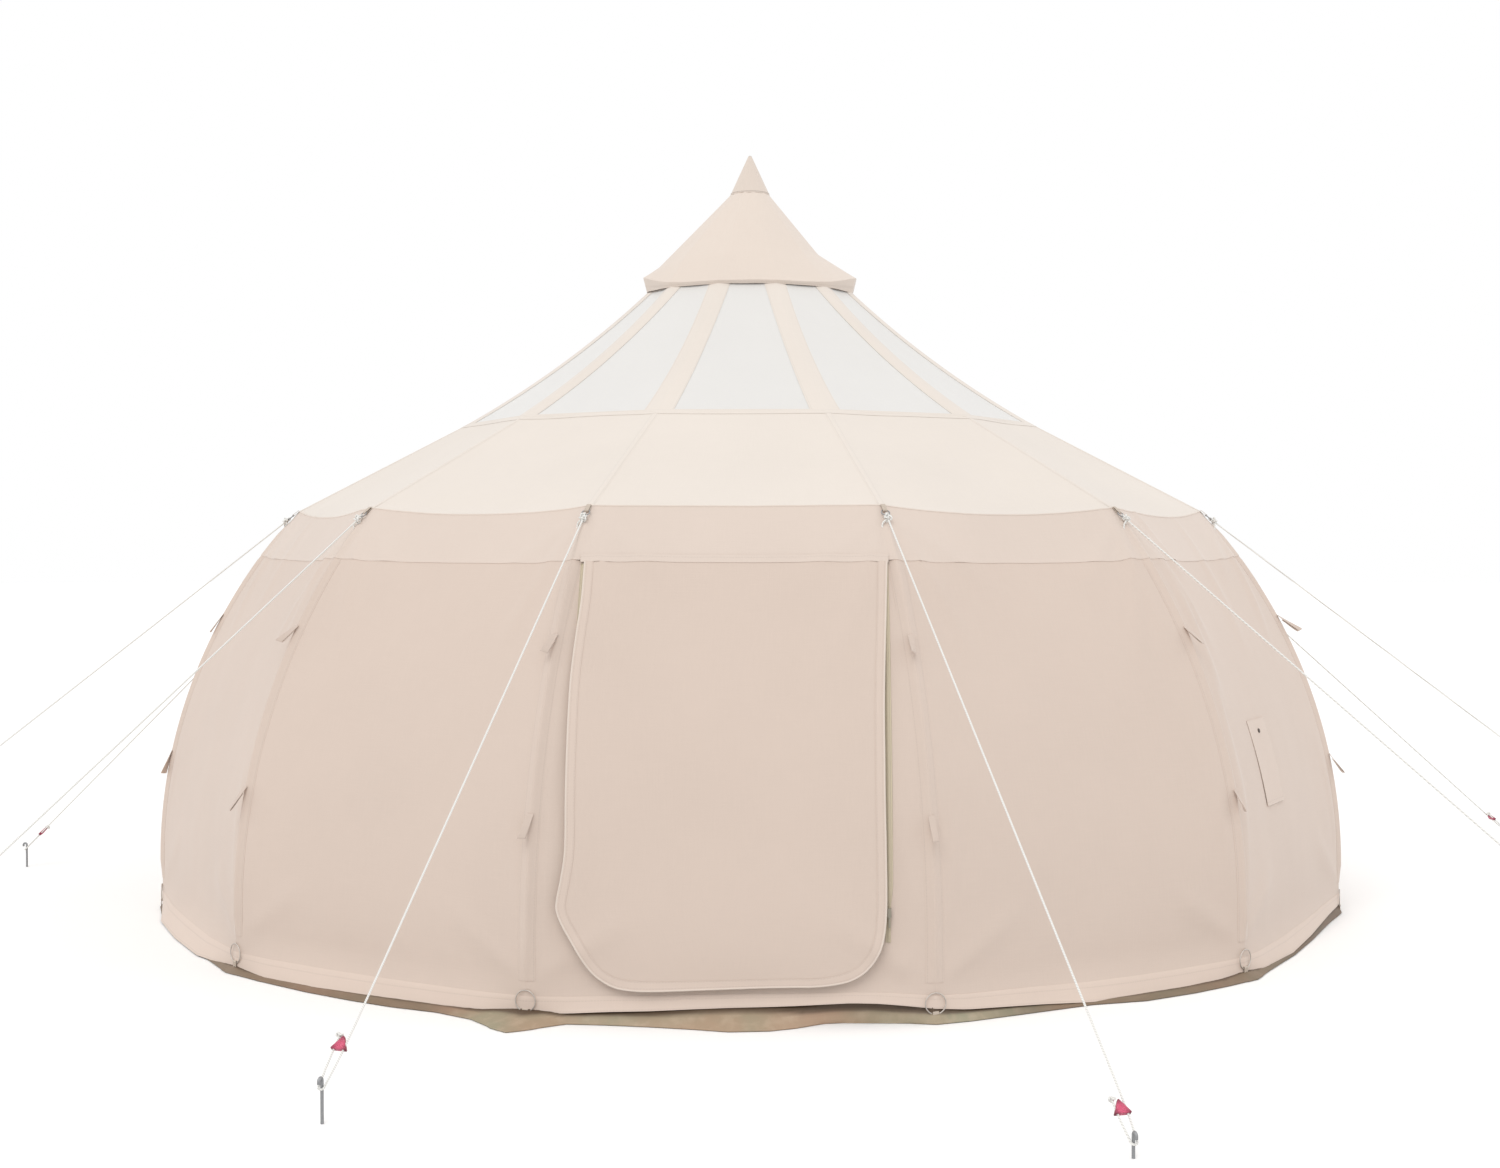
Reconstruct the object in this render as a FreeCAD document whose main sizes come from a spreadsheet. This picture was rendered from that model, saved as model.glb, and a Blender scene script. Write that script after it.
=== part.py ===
import FreeCAD, Part
import math
import os

# A twelve-sided bell tent with bowed walls. Millimetres and degrees, +Z up.
# The origin is on the ground under the centre pole. The doorway faces -Y.
# "Azimuth" is measured about +Z from -Y, positive towards +X.

doc = FreeCAD.newDocument("BellTent")
Vector = FreeCAD.Vector

SIZES = {
    # the polygon and its heights; radii run to the outside of the canvas corners
    "panels": 12,
    "base_radius": 2500,
    "eave_radius": 1940,
    "eave_height": 1640,
    "wall_straight": 200,
    "band_height": 190,
    "tip_top": 3212,
    "break_radius": 1250,
    "crown_radius": 460,
    "crown_top_radius": 80,
    "window_sag": 29,
    # where the roof's rings lie, as shares of the rise from the eave to the tip
    "break_share": 0.2327044,
    "crown_share": 0.6069182,
    "crown_top_share": 0.8861635,
    # cloth
    "canvas": 3,
    "film": 2,
    "sewn_gap": 0.4,
    "eave_seam": 2.5,
    "hem_height": 45,
    "rib_half_low": 62,
    "rib_half_high": 48,
    # groundsheet
    "sheet_thick": 3,
    "tub_wall": 2,
    "tub_height": 110,
    "tub_gap": 0.35,
    # rain cap and tip
    "cap_radius": 475,
    "cap_overhang": 5,
    "cap_top_radius": 85,
    "cap_gap": 7,
    "tip_radius": 86,
    "tip_end_radius": 7,
    # centre pole
    "pole_radius": 19,
    "pole_wall": 1.5,
    "pole_lower_end": 1020,
    "pole_middle_end": 2035,
    "spigot_length": 160,
    "spigot_clearance": 0.05,
    "foot_radius": 32,
    "foot_height": 45,
    "foot_floor": 8,
    "head_neck": 26,
    "head_depth": 60,
    "head_flange": 12,
    "head_cone": 110,
    "cloth_clearance": 0.4,
    # curved wall poles
    "rod_radius": 8,
    "rod_wall": 1.2,
    "rod_inset": 12.9,
    "rod_joint": 860,
    "rod_below_eave": 45,
    "ferrule_height": 20,
    "rod_spigot_angle": 2.2,
    "sleeve_wall": 1.2,
    "sleeve_clearance": 0.3,
    # doorway, flap, screen, zips
    "door_half": 460,
    "sill_height": 200,
    "flap_half": 514,
    "flap_bottom": 110,
    "flap_below_band": 6,
    "flap_corner": 220,
    "flap_offset": 7.5,
    "hem_bead": 1.9,
    "screen_bead": 1.4,
    "header_height": 18,
    "header_clearance": 0.5,
    "screen_half": 482,
    "screen_bottom": 170,
    "screen_below_flap": 6,
    "screen_corner": 60,
    "screen_gap": 0.6,
    "zip_place": 502,
    "zip_half": 12,
    "zip_low": 255,
    "zip_depth": 2,
    "slider_low": 335,
    "slider_half": 6,
    "slider_length": 28,
    "slider_depth": 4,
    "pull_length": 32,
    "pull_half": 3,
    # cord port
    "port_azimuth": 60,
    "port_centre": -170,
    "port_half": 50,
    "port_low": 620,
    "port_high": 770,
    "port_flap_half": 100,
    "port_flap_low": 550,
    "port_flap_hinge": 858,
    "button_height": 815,
    "button_radius": 8,
    "button_depth": 4,
    # webbing, rings, tabs
    "webbing": 6,
    "ring_wire": 2,
    "ring_radius": 14,
    "loop_half": 8,
    "loop_length": 34,
    "loop_lift": 2.05,
    "guy_slope": 40,
    "base_ring_radius": 34,
    "base_loop_half": 10,
    "base_loop_length": 26,
    "base_loop_height": 34,
    "ring_clearance": 0.3,
    "tab_width": 30,
    "tab_length": 115,
    "tab_thick": 2.5,
    "tab_slope": 45,
    "guy_margin": 8,
    "tab_low_share": 0.39634,
    "tab_high_share": 0.73780,
    # guy ropes, runners, pegs
    "rope_radius": 3,
    "strand_half": 8,
    "runner_size": 29,
    "runner_depth": 12,
    "runner_rounding": 2,
    "runner_distance": 125,
    "rope_clearance": 0.9,
    "rope_tail": 15,
    "peg_height": 110,
    "peg_radius": 4.5,
    "peg_slack": 2.2,
    "hook_radius": 8,
    "hook_tail": 7,
    "rope_below_hook": 24,
}

sheet = doc.addObject("Spreadsheet::Sheet", "Sizes")
for row, (alias, value) in enumerate(SIZES.items(), start=1):
    sheet.set(f"A{row}", alias)
    sheet.set(f"B{row}", str(value))
    sheet.setAlias(f"B{row}", alias)
doc.recompute()

# Each guy line: azimuth of its eave corner, azimuth of its peg, the peg's distance from the
# centre pole in base radii, and its shares of the usual peg height and runner distance.
GUYS = [
    ("front_left", -15, -16.5, 1.4444, 1.1091, 1.0),
    ("front_right", 15, 15.8, 1.5292, 0.6, 0.736),
    ("right_front", 45, 45.0, 1.62, 1.0, 1.0),
    ("right_middle", 75, 75.0, 1.58, 1.0, 1.0),
    ("right_rear", 105, 104.0, 1.52, 1.0, 1.0),
    ("rear_right_side", 135, 134.5, 1.54, 1.0, 1.0),
    ("rear_right", 165, 165.5, 1.512, 1.0, 1.0),
    ("rear_left", -165, -165.0, 1.528, 1.0, 1.0),
    ("rear_left_side", -135, -134.0, 1.544, 1.0, 1.0),
    ("left_rear", -105, -94.8, 1.354, 1.0, 0.84),
    ("left_middle", -75, -75.0, 1.548, 1.0, 1.0),
    ("left_front", -45, -45.0, 1.54, 1.0, 1.0),
]

# Lengths that follow from the driving sizes, as expressions on the sheet.
HALF = "(180 / Sizes.panels)"
BASE_FLAT = f"(Sizes.base_radius * cos({HALF}))"
EAVE_FLAT = f"(Sizes.eave_radius * cos({HALF}))"
WALL_RISE = "(Sizes.eave_height - Sizes.wall_straight)"
WALL_INSET = f"({BASE_FLAT} - {EAVE_FLAT})"
WALL_ARC = f"(({WALL_INSET}^2 + {WALL_RISE}^2) / (2 * {WALL_INSET}))"
ARC_Y = f"({WALL_ARC} - {BASE_FLAT})"
BREAK_FLAT = f"(Sizes.break_radius * cos({HALF}))"
CROWN_FLAT = f"(Sizes.crown_radius * cos({HALF}))"
ROD_INSET = "(Sizes.base_radius - Sizes.eave_radius)"
ROD_ARC = f"(({ROD_INSET}^2 + {WALL_RISE}^2) / (2 * {ROD_INSET}))"
# Two panels meet along a line that bows a little less than the rods' arc: this much, where most.
ROD_EASE = (
    f"(({WALL_ARC} - sqrt({WALL_ARC}^2 - (0.7 * {WALL_RISE})^2)) / cos({HALF})"
    f" - ({ROD_ARC} - sqrt({ROD_ARC}^2 - (0.7 * {WALL_RISE})^2)))"
)
ROD_DEPTH = f"(Sizes.rod_inset + {ROD_EASE})"
ROD_FOOT = f"(Sizes.base_radius - {ROD_DEPTH})"
ROD_BEND = f"({ROD_ARC} - {ROD_DEPTH})"
ROD_TOP = "(Sizes.eave_height - Sizes.rod_below_eave)"
BAND_LOW = "(Sizes.eave_height - Sizes.band_height)"
FLAP_HINGE = f"({BAND_LOW} - Sizes.flap_below_band)"
SCREEN_HINGE = f"({FLAP_HINGE} - Sizes.screen_below_flap)"
ROOF_RISE = "(Sizes.tip_top - Sizes.eave_height)"
BREAK_HEIGHT = f"(Sizes.eave_height + Sizes.break_share * {ROOF_RISE})"
CROWN_HEIGHT = f"(Sizes.eave_height + Sizes.crown_share * {ROOF_RISE})"
CROWN_TOP = f"(Sizes.eave_height + Sizes.crown_top_share * {ROOF_RISE})"
CAP_LOW = f"({CROWN_HEIGHT} - Sizes.cap_overhang)"
CAP_TOP = f"({CROWN_TOP} + Sizes.cap_gap)"

# A torus laid so that its sweep starts at -Y and rises towards +Z.
RISING = FreeCAD.Rotation(Vector(0, -1, 0), Vector(0, 0, 1), Vector(-1, 0, 0), "XYZ")
ACROSS = FreeCAD.Rotation(Vector(0, 1, 0), 90)
WIDE = 3000


def value(expression):
    """The number that an expression on the sheet comes to."""
    result = sheet.evalExpression(str(expression))
    return float(getattr(result, "Value", result))


def bind(thing, **properties):
    """Binds properties to expressions; Base_x stands for Placement.Base.x and so on."""
    places = {
        "Base_x": "Placement.Base.x",
        "Base_y": "Placement.Base.y",
        "Base_z": "Placement.Base.z",
        "Turn": "Placement.Rotation.Angle",
    }
    for name, expression in properties.items():
        thing.setExpression(places.get(name, name), str(expression))
    return thing


def make(kind, name, **properties):
    """A new document object with its properties bound."""
    return bind(doc.addObject(kind, name), **properties)


def combine(kind, name, first, second):
    """A boolean of two objects: Part::Cut, Part::Common or Part::Fuse."""
    result = doc.addObject(kind, name)
    result.Base = first
    result.Tool = second
    return result


def box(name, x, y, z):
    """A box between pairs of expressions along X, Y and Z."""
    return make(
        "Part::Box", name,
        Length=f"({x[1]}) - ({x[0]})", Width=f"({y[1]}) - ({y[0]})", Height=f"({z[1]}) - ({z[0]})",
        Base_x=x[0], Base_y=y[0], Base_z=z[0],
    )


def plan_wedge(name, far, far_half, near, near_half, bottom, top):
    """An upright prism on the -Y side, whose half width runs from far_half to near_half."""
    return make(
        "Part::Wedge", name,
        Ymin=f"-({far})", Ymax=f"-({near})",
        Xmin=f"-({far_half})", Xmax=far_half, X2min=f"-({near_half})", X2max=near_half,
        Zmin=bottom, Z2min=bottom, Zmax=top, Z2max=top,
    )


def gore(name, bottom, top, gap="Sizes.sewn_gap"):
    """The share of one panel: the sector about -Y, half a sewn gap short on each side."""
    reach = {"far": "(Sizes.base_radius * 1.1)", "near": "(Sizes.crown_top_radius / 4)"}
    half = {end: f"({y} * tan({HALF}) - ({gap}) / 2)" for end, y in reach.items()}
    return plan_wedge(name, reach["far"], half["far"], reach["near"], half["near"], bottom, top)


def barrel(name, inner, outer):
    """A cylindrical shell about the wall's arc, between two offsets from the wall's outer face."""
    rings = []
    for end, offset in (("outer", outer), ("inner", inner)):
        rings.append(make(
            "Part::Cylinder", f"{name}_{end}", Radius=f"{WALL_ARC} + ({offset})", Height=2 * WIDE,
        ))
        rings[-1].Placement = FreeCAD.Placement(Vector(-WIDE, 0, 0), ACROSS)
        bind(rings[-1], Base_y=ARC_Y, Base_z="Sizes.wall_straight")
    return combine("Part::Cut", f"{name}_barrel", rings[0], rings[1])


def wall_skin(name, inner, outer, bottom, top, outline):
    """A layer of cloth that follows the wall, cut to an outline solid."""
    bowed = combine(
        "Part::Common", f"{name}_bowed", barrel(name, inner, outer),
        box(f"{name}_upper", (-WIDE, WIDE), (-WIDE, 0), ("Sizes.wall_straight", top)),
    )
    upright = box(
        f"{name}_upright", (-WIDE, WIDE),
        (f"-({BASE_FLAT} + ({outer}))", f"-({BASE_FLAT} + ({inner}))"), (bottom, "Sizes.wall_straight"),
    )
    whole = combine("Part::Fuse", f"{name}_whole", bowed, upright)
    return combine("Part::Common", f"{name}_skin", whole, outline)


def slope_slab(name, low_radius, low_height, high_radius, high_height, end_gaps, thick, outline):
    """A flat sloping panel whose outer face joins two corner rings, cut to an outline solid."""
    run = f"((({low_radius}) - ({high_radius})) * cos({HALF}))"
    rise = f"(({high_height}) - ({low_height}))"
    length = f"sqrt({run}^2 + {rise}^2)"
    low_gap, high_gap = end_gaps
    flat = doc.addObject("Part::Box", f"{name}_flat")
    flat.Placement = FreeCAD.Placement(Vector(0, 0, 0), FreeCAD.Rotation(Vector(1, 0, 0), 30))
    bind(
        flat, Length=2 * WIDE, Width=f"{length} - ({low_gap}) - ({high_gap})", Height=thick, Base_x=-WIDE,
        Base_y=f"-({low_radius}) * cos({HALF}) + (({low_gap}) * {run} + ({thick}) * {rise}) / {length}",
        Base_z=f"({low_height}) + (({low_gap}) * {rise} - ({thick}) * {run}) / {length}",
        Turn=f"atan2({rise}; {run})",
    )
    return combine("Part::Common", f"{name}_slab", flat, outline)


def axis_of(body, role):
    return [item for item in body.Origin.OriginFeatures if item.Role == role][0]


def ring_of(body, copies="Sizes.panels", sweep=360):
    """Repeats a whole body about +Z."""
    pattern = body.newObject("PartDesign::PolarPattern", f"{body.Name}_ring")
    pattern.Axis = (axis_of(body, "Z_Axis"), [""])
    pattern.TransformMode = "Whole shape"
    bind(pattern, Angle=sweep, Occurrences=copies)
    body.Tip = pattern
    return body


def ring_body(label, source, azimuth=0, copies="Sizes.panels", sweep=360):
    """A body that takes one finished panel, turns it to its azimuth and repeats it."""
    body = doc.addObject("PartDesign::Body", label)
    body.BaseFeature = source
    doc.recompute()
    ring_of(body, copies, sweep)
    body.Placement = FreeCAD.Placement(Vector(0, 0, 0), FreeCAD.Rotation(Vector(0, 0, 1), 1))
    return bind(body, Turn=azimuth)


def turned(label, source, azimuth):
    """One finished panel turned about +Z to its azimuth."""
    copy = doc.addObject("Part::Compound", label)
    copy.Links = [source]
    copy.Placement = FreeCAD.Placement(Vector(0, 0, 0), FreeCAD.Rotation(Vector(0, 0, 1), 1))
    return bind(copy, Turn=azimuth)


def group(label, items):
    """Several like pieces kept under one name."""
    whole = doc.addObject("Part::Compound", f"{label}_group")
    whole.Links = items
    return keep(whole, label)


def feature(body, kind, name, place=None, **properties):
    """A PartDesign primitive in a body, with an optional fixed placement."""
    item = body.newObject(f"PartDesign::{kind}", name)
    if place is not None:
        item.Placement = place
    return bind(item, **properties)


def keep(thing, label):
    thing.Label = label
    FINISHED.append(thing)
    return thing


FINISHED = []


# ---------------------------------------------------------------- groundsheet
def make_groundsheet():
    """The floor, and the low tub wall that stands just inside the canvas."""
    floor = make(
        "Part::Prism", "floor", Polygon="Sizes.panels", Circumradius="Sizes.base_radius",
        Height="Sizes.sheet_thick",
    )
    floor.Placement = FreeCAD.Placement(Vector(0, 0, 0), FreeCAD.Rotation(Vector(0, 0, 1), 1))
    keep(bind(floor, Turn=HALF), "groundsheet_floor")
    outside = f"({BASE_FLAT} - Sizes.canvas - Sizes.tub_gap)"
    strip = box(
        "tub_strip", (-WIDE, WIDE), (f"-{outside}", f"-({outside} - Sizes.tub_wall)"),
        ("Sizes.sheet_thick", "Sizes.tub_height"),
    )
    side = combine("Part::Common", "tub_side", strip, gore("tub_gore", 0, "Sizes.tub_height"))
    keep(ring_body("tub", side), "groundsheet_walls")


# ---------------------------------------------------------------- canvas walls
def make_walls():
    """Twelve bowed panels up to the band seam, then the band up to the eave."""
    panel_gore = gore("panel_gore", "Sizes.hem_height", f"{BAND_LOW} - Sizes.sewn_gap")
    panel = wall_skin(
        "panel", "-Sizes.canvas", 0, "Sizes.hem_height", f"{BAND_LOW} - Sizes.sewn_gap", panel_gore,
    )
    step = f"(2 * {HALF})"
    plain = ring_body(
        "wall", panel, f"Sizes.port_azimuth + {step}", "Sizes.panels - 3",
        f"(Sizes.panels - 4) * {step}",
    )
    group("wall_panels", [turned("side_panel", panel, step), plain])
    hole = box(
        "port_hole", ("Sizes.port_centre - Sizes.port_half", "Sizes.port_centre + Sizes.port_half"),
        (-WIDE, 0), ("Sizes.port_low", "Sizes.port_high"),
    )
    holed = combine("Part::Cut", "holed_panel", panel, hole)
    keep(turned("port_panel", holed, "Sizes.port_azimuth"), "wall_panel_cord_port")
    sides = []
    for side, low, high in (
        ("left", -WIDE, "-Sizes.door_half"),
        ("right", "Sizes.door_half", WIDE),
    ):
        strip = box(f"{side}_strip", (low, high), (-WIDE, 0), (0, WIDE))
        sides.append(combine("Part::Common", f"front_{side}", panel, strip))
    group("front_wall_sides", sides)
    edge = "(Sizes.door_half - Sizes.sewn_gap)"
    strip = box("sill_strip", (f"-{edge}", edge), (-WIDE, 0), (0, "Sizes.sill_height"))
    keep(combine("Part::Common", "sill", panel, strip), "door_sill")

    band_gore = gore("band_gore", BAND_LOW, "Sizes.eave_height - Sizes.eave_seam")
    band = wall_skin(
        "band", "-Sizes.canvas", 0, "Sizes.hem_height", "Sizes.eave_height - Sizes.eave_seam", band_gore,
    )
    keep(ring_body("eave", band), "eave_band")


# ---------------------------------------------------------------- roof
def make_roof():
    """Flat lower panels, then windows and ribs on a shallow hollow arc, then the vent cone."""
    lower = slope_slab(
        "lower_roof", "Sizes.eave_radius", "Sizes.eave_height", "Sizes.break_radius",
        BREAK_HEIGHT, ("2 * Sizes.sewn_gap", "Sizes.canvas / 2"), "Sizes.canvas",
        gore("roof_gore", 0, 2 * WIDE),
    )
    keep(ring_body("roof", lower), "roof_panels")

    run = f"({BREAK_FLAT} - {CROWN_FLAT})"
    rise = f"({CROWN_HEIGHT} - {BREAK_HEIGHT})"
    chord = f"sqrt({run}^2 + {rise}^2)"
    arc = f"({chord}^2 / (8 * Sizes.window_sag) + Sizes.window_sag / 2)"
    out = f"({arc} - Sizes.window_sag)"
    tubes = []
    for end, extra in (("outer", "Sizes.canvas"), ("inner", 0)):
        tube = make(
            "Part::Cylinder", f"hollow_{end}", Radius=f"{arc} + ({extra})", Height=2 * WIDE,
        )
        tube.Placement = FreeCAD.Placement(Vector(-WIDE, 0, 0), ACROSS)
        bind(
            tube,
            Base_y=f"-(({BREAK_FLAT} + {CROWN_FLAT}) / 2 + {out} * {rise} / {chord})",
            Base_z=f"({BREAK_HEIGHT} + {CROWN_HEIGHT}) / 2 + {out} * {run} / {chord}",
        )
        tubes.append(tube)
    hollow = combine("Part::Cut", "hollow", tubes[0], tubes[1])

    far = f"({BREAK_FLAT} - Sizes.sewn_gap)"
    near = CROWN_FLAT
    ceiling = CROWN_TOP

    def between(name, short_far, short_near):
        return plan_wedge(
            name, far, f"({far} * tan({HALF}) - ({short_far}))",
            near, f"({near} * tan({HALF}) - ({short_near}))", 0, ceiling,
        )

    gap = "Sizes.sewn_gap"
    pane_cut = between("pane_cut", f"Sizes.rib_half_low + {gap}", f"Sizes.rib_half_high + {gap}")
    keep(
        ring_body("pane", combine("Part::Common", "pane", hollow, pane_cut)),
        "roof_windows",
    )
    full = combine("Part::Common", "full_gore", hollow, between("full_cut", 0, 0))
    strips = combine(
        "Part::Cut", "rib_strips", full, between("rib_cut", "Sizes.rib_half_low", "Sizes.rib_half_high"),
    )
    right = combine(
        "Part::Common", "rib_right", strips, box("rib_right_side", (0, WIDE), (-WIDE, 0), (0, ceiling)),
    )
    left = combine(
        "Part::Common", "rib_left", strips, box("rib_left_side", (-WIDE, 0), (-WIDE, 0), (0, ceiling)),
    )
    rib = combine("Part::Fuse", "rib", right, turned("rib_left_turned", left, f"2 * {HALF}"))
    keep(ring_body("ribs", rib), "roof_ribs")

    vent = slope_slab(
        "vent", "Sizes.crown_radius", CROWN_HEIGHT, "Sizes.crown_top_radius",
        CROWN_TOP, ("Sizes.sewn_gap", "Sizes.sewn_gap"), "Sizes.canvas",
        gore("vent_gore", 0, ceiling),
    )
    keep(ring_body("vents", vent), "vent_cone")


# ---------------------------------------------------------------- rain cap
def make_cap():
    """The rain cap's twelve panels and its hollow tip, which sits on the pole's head."""
    side = slope_slab(
        "cap", "Sizes.cap_radius", CAP_LOW, "Sizes.cap_top_radius", CAP_TOP,
        (0, 0), "Sizes.canvas", gore("cap_gore", 0, "Sizes.tip_top"),
    )
    keep(ring_body("caps", side), "rain_cap")
    seat = f"({CAP_TOP} + Sizes.sewn_gap)"
    height = f"(Sizes.tip_top - {seat})"
    tip = doc.addObject("PartDesign::Body", "tip")
    feature(
        tip, "AdditiveCone", "tip_outside", Radius1="Sizes.tip_radius", Radius2="Sizes.tip_end_radius",
        Height=height, Base_z=seat,
    )
    feature(
        tip, "SubtractiveCone", "tip_inside", Radius1="Sizes.tip_radius - Sizes.canvas", Radius2=1,
        Height=f"{height} - 4 * Sizes.canvas", Base_z=seat,
    )
    keep(tip, "cap_tip")


# ---------------------------------------------------------------- centre pole
def make_centre_pole():
    """Three tubes joined by spigots, a rubber foot and a turned head under the cap's tip."""
    bottom = "(Sizes.sheet_thick + Sizes.foot_floor)"
    head_base = f"({CROWN_TOP} + Sizes.cloth_clearance)"
    joints = [bottom, "Sizes.pole_lower_end", "Sizes.pole_middle_end", head_base]
    for name, low, high in zip(("lower", "middle", "upper"), joints, joints[1:]):
        tube = doc.addObject("PartDesign::Body", f"tube_{name}")
        feature(
            tube, "AdditiveCylinder", f"tube_{name}_outside", Radius="Sizes.pole_radius",
            Height=f"{high} - {low}", Base_z=low,
        )
        feature(
            tube, "SubtractiveCylinder", f"tube_{name}_bore", Radius="Sizes.pole_radius - Sizes.pole_wall",
            Height=f"{high} - {low}", Base_z=low,
        )
        keep(tube, f"centre_pole_{name}")
    spigots = []
    for name, joint in zip(("lower", "upper"), joints[1:3]):
        spigot = doc.addObject("PartDesign::Body", f"spigot_{name}")
        feature(
            spigot, "AdditiveCylinder", f"spigot_{name}_rod",
            Radius="Sizes.pole_radius - Sizes.pole_wall - Sizes.spigot_clearance",
            Height="Sizes.spigot_length", Base_z=f"{joint} - Sizes.spigot_length / 2",
        )
        spigots.append(spigot)
    group("centre_pole_spigots", spigots)

    foot = doc.addObject("PartDesign::Body", "foot")
    feature(
        foot, "AdditiveCone", "foot_outside", Radius1="Sizes.foot_radius", Radius2="Sizes.foot_radius * 0.8",
        Height="Sizes.foot_height", Base_z="Sizes.sheet_thick",
    )
    feature(
        foot, "SubtractiveCylinder", "foot_socket", Radius="Sizes.pole_radius + Sizes.spigot_clearance",
        Height="Sizes.foot_height", Base_z=bottom,
    )
    keep(foot, "centre_pole_foot")

    head = doc.addObject("PartDesign::Body", "head")
    slant = f"((Sizes.tip_radius - Sizes.canvas - 1) / (Sizes.tip_top - {CAP_TOP} - 4 * Sizes.canvas))"
    rim = "(Sizes.tip_radius - Sizes.canvas - 2 * Sizes.cloth_clearance)"
    cone_base = f"({CAP_TOP} + Sizes.sewn_gap)"
    # the flange stands inside the cap's top edge, which slopes in under the tip
    flange = f"(Sizes.cap_top_radius * cos({HALF}) - 1.5 * Sizes.canvas - 2 * Sizes.cloth_clearance)"
    feature(
        head, "AdditiveCylinder", "head_neck", Radius="Sizes.head_neck", Height="Sizes.head_depth",
        Base_z=f"{head_base} - Sizes.head_depth",
    )
    feature(
        head, "AdditiveCylinder", "head_flange", Radius=flange,
        Height=f"{cone_base} - {head_base}", Base_z=head_base,
    )
    feature(
        head, "AdditiveCone", "head_cone", Radius1=rim, Radius2=f"{rim} - Sizes.head_cone * {slant}",
        Height="Sizes.head_cone", Base_z=cone_base,
    )
    feature(
        head, "SubtractiveCylinder", "head_socket", Radius="Sizes.pole_radius + Sizes.spigot_clearance",
        Height="Sizes.head_depth", Base_z=f"{head_base} - Sizes.head_depth",
    )
    keep(head, "centre_pole_head")


# ---------------------------------------------------------------- curved wall poles
def rising_torus(body, kind, name, tube, angle):
    """A bent rod or bore on the wall poles' arc, from the top of the upright part."""
    return feature(
        body, f"{kind}Torus", name, FreeCAD.Placement(Vector(0, 0, 0), RISING),
        Radius1=ROD_BEND, Radius2=tube, Angle3=angle,
        Base_y=f"-({ROD_FOOT} - {ROD_BEND})", Base_z="Sizes.wall_straight",
    )


def corner_ring(body):
    """Repeats a body made on the -Y axis and turns the ring by half a panel, onto the corners."""
    ring_of(body)
    body.Placement = FreeCAD.Placement(Vector(0, 0, 0), FreeCAD.Rotation(Vector(0, 0, 1), 1))
    return bind(body, Turn=HALF)


def make_wall_poles():
    """Twelve bent tubes in two sections each, with ferrules, spigots and canvas sleeves."""
    joint = f"asin((Sizes.rod_joint - Sizes.wall_straight) / {ROD_BEND})"
    top = f"asin(({ROD_TOP} - Sizes.wall_straight) / {ROD_BEND})"
    bore = "(Sizes.rod_radius - Sizes.rod_wall)"
    ferrule_top = "(Sizes.sheet_thick + Sizes.ferrule_height)"
    foot = {"Base_y": f"-{ROD_FOOT}"}

    lower = doc.addObject("PartDesign::Body", "rod_lower")
    rising_torus(lower, "Additive", "rod_lower_bend", "Sizes.rod_radius", joint)
    feature(
        lower, "AdditiveCylinder", "rod_lower_leg", Radius="Sizes.rod_radius",
        Height=f"Sizes.wall_straight - {ferrule_top}", Base_z=ferrule_top, **foot,
    )
    rising_torus(lower, "Subtractive", "rod_lower_bend_bore", bore, f"{joint} + 1 deg")
    feature(
        lower, "SubtractiveCylinder", "rod_lower_leg_bore", Radius=bore,
        Height=f"Sizes.wall_straight - {ferrule_top}", Base_z=ferrule_top, **foot,
    )
    keep(corner_ring(lower), "wall_poles_lower")

    upper = doc.addObject("PartDesign::Body", "rod_upper")
    rising_torus(upper, "Additive", "rod_upper_bend", "Sizes.rod_radius", top)
    rising_torus(upper, "Subtractive", "rod_upper_trim", "2 * Sizes.rod_radius", joint)
    rising_torus(upper, "Subtractive", "rod_upper_bore", bore, f"{top} + 1 deg")
    keep(corner_ring(upper), "wall_poles_upper")

    spigot = doc.addObject("PartDesign::Body", "rod_spigot")
    fit = f"({bore} - Sizes.spigot_clearance)"
    rising_torus(spigot, "Additive", "rod_spigot_rod", fit, f"{joint} + Sizes.rod_spigot_angle * 1 deg")
    rising_torus(
        spigot, "Subtractive", "rod_spigot_trim", "2 * Sizes.rod_radius",
        f"{joint} - Sizes.rod_spigot_angle * 1 deg",
    )

    ferrule = doc.addObject("PartDesign::Body", "ferrule")
    feature(
        ferrule, "AdditiveCylinder", "ferrule_plug", Radius="Sizes.rod_radius",
        Height="Sizes.ferrule_height", Base_z="Sizes.sheet_thick", **foot,
    )
    group("wall_pole_fittings", [corner_ring(spigot), corner_ring(ferrule)])

    sleeve = doc.addObject("PartDesign::Body", "sleeve")
    lining = "(Sizes.rod_radius + Sizes.sleeve_clearance)"
    rising_torus(sleeve, "Additive", "sleeve_outside", f"{lining} + Sizes.sleeve_wall", f"{top} - 0.2 deg")
    rising_torus(sleeve, "Subtractive", "sleeve_inside", lining, top)
    keep(corner_ring(sleeve), "wall_pole_sleeves")


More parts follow.
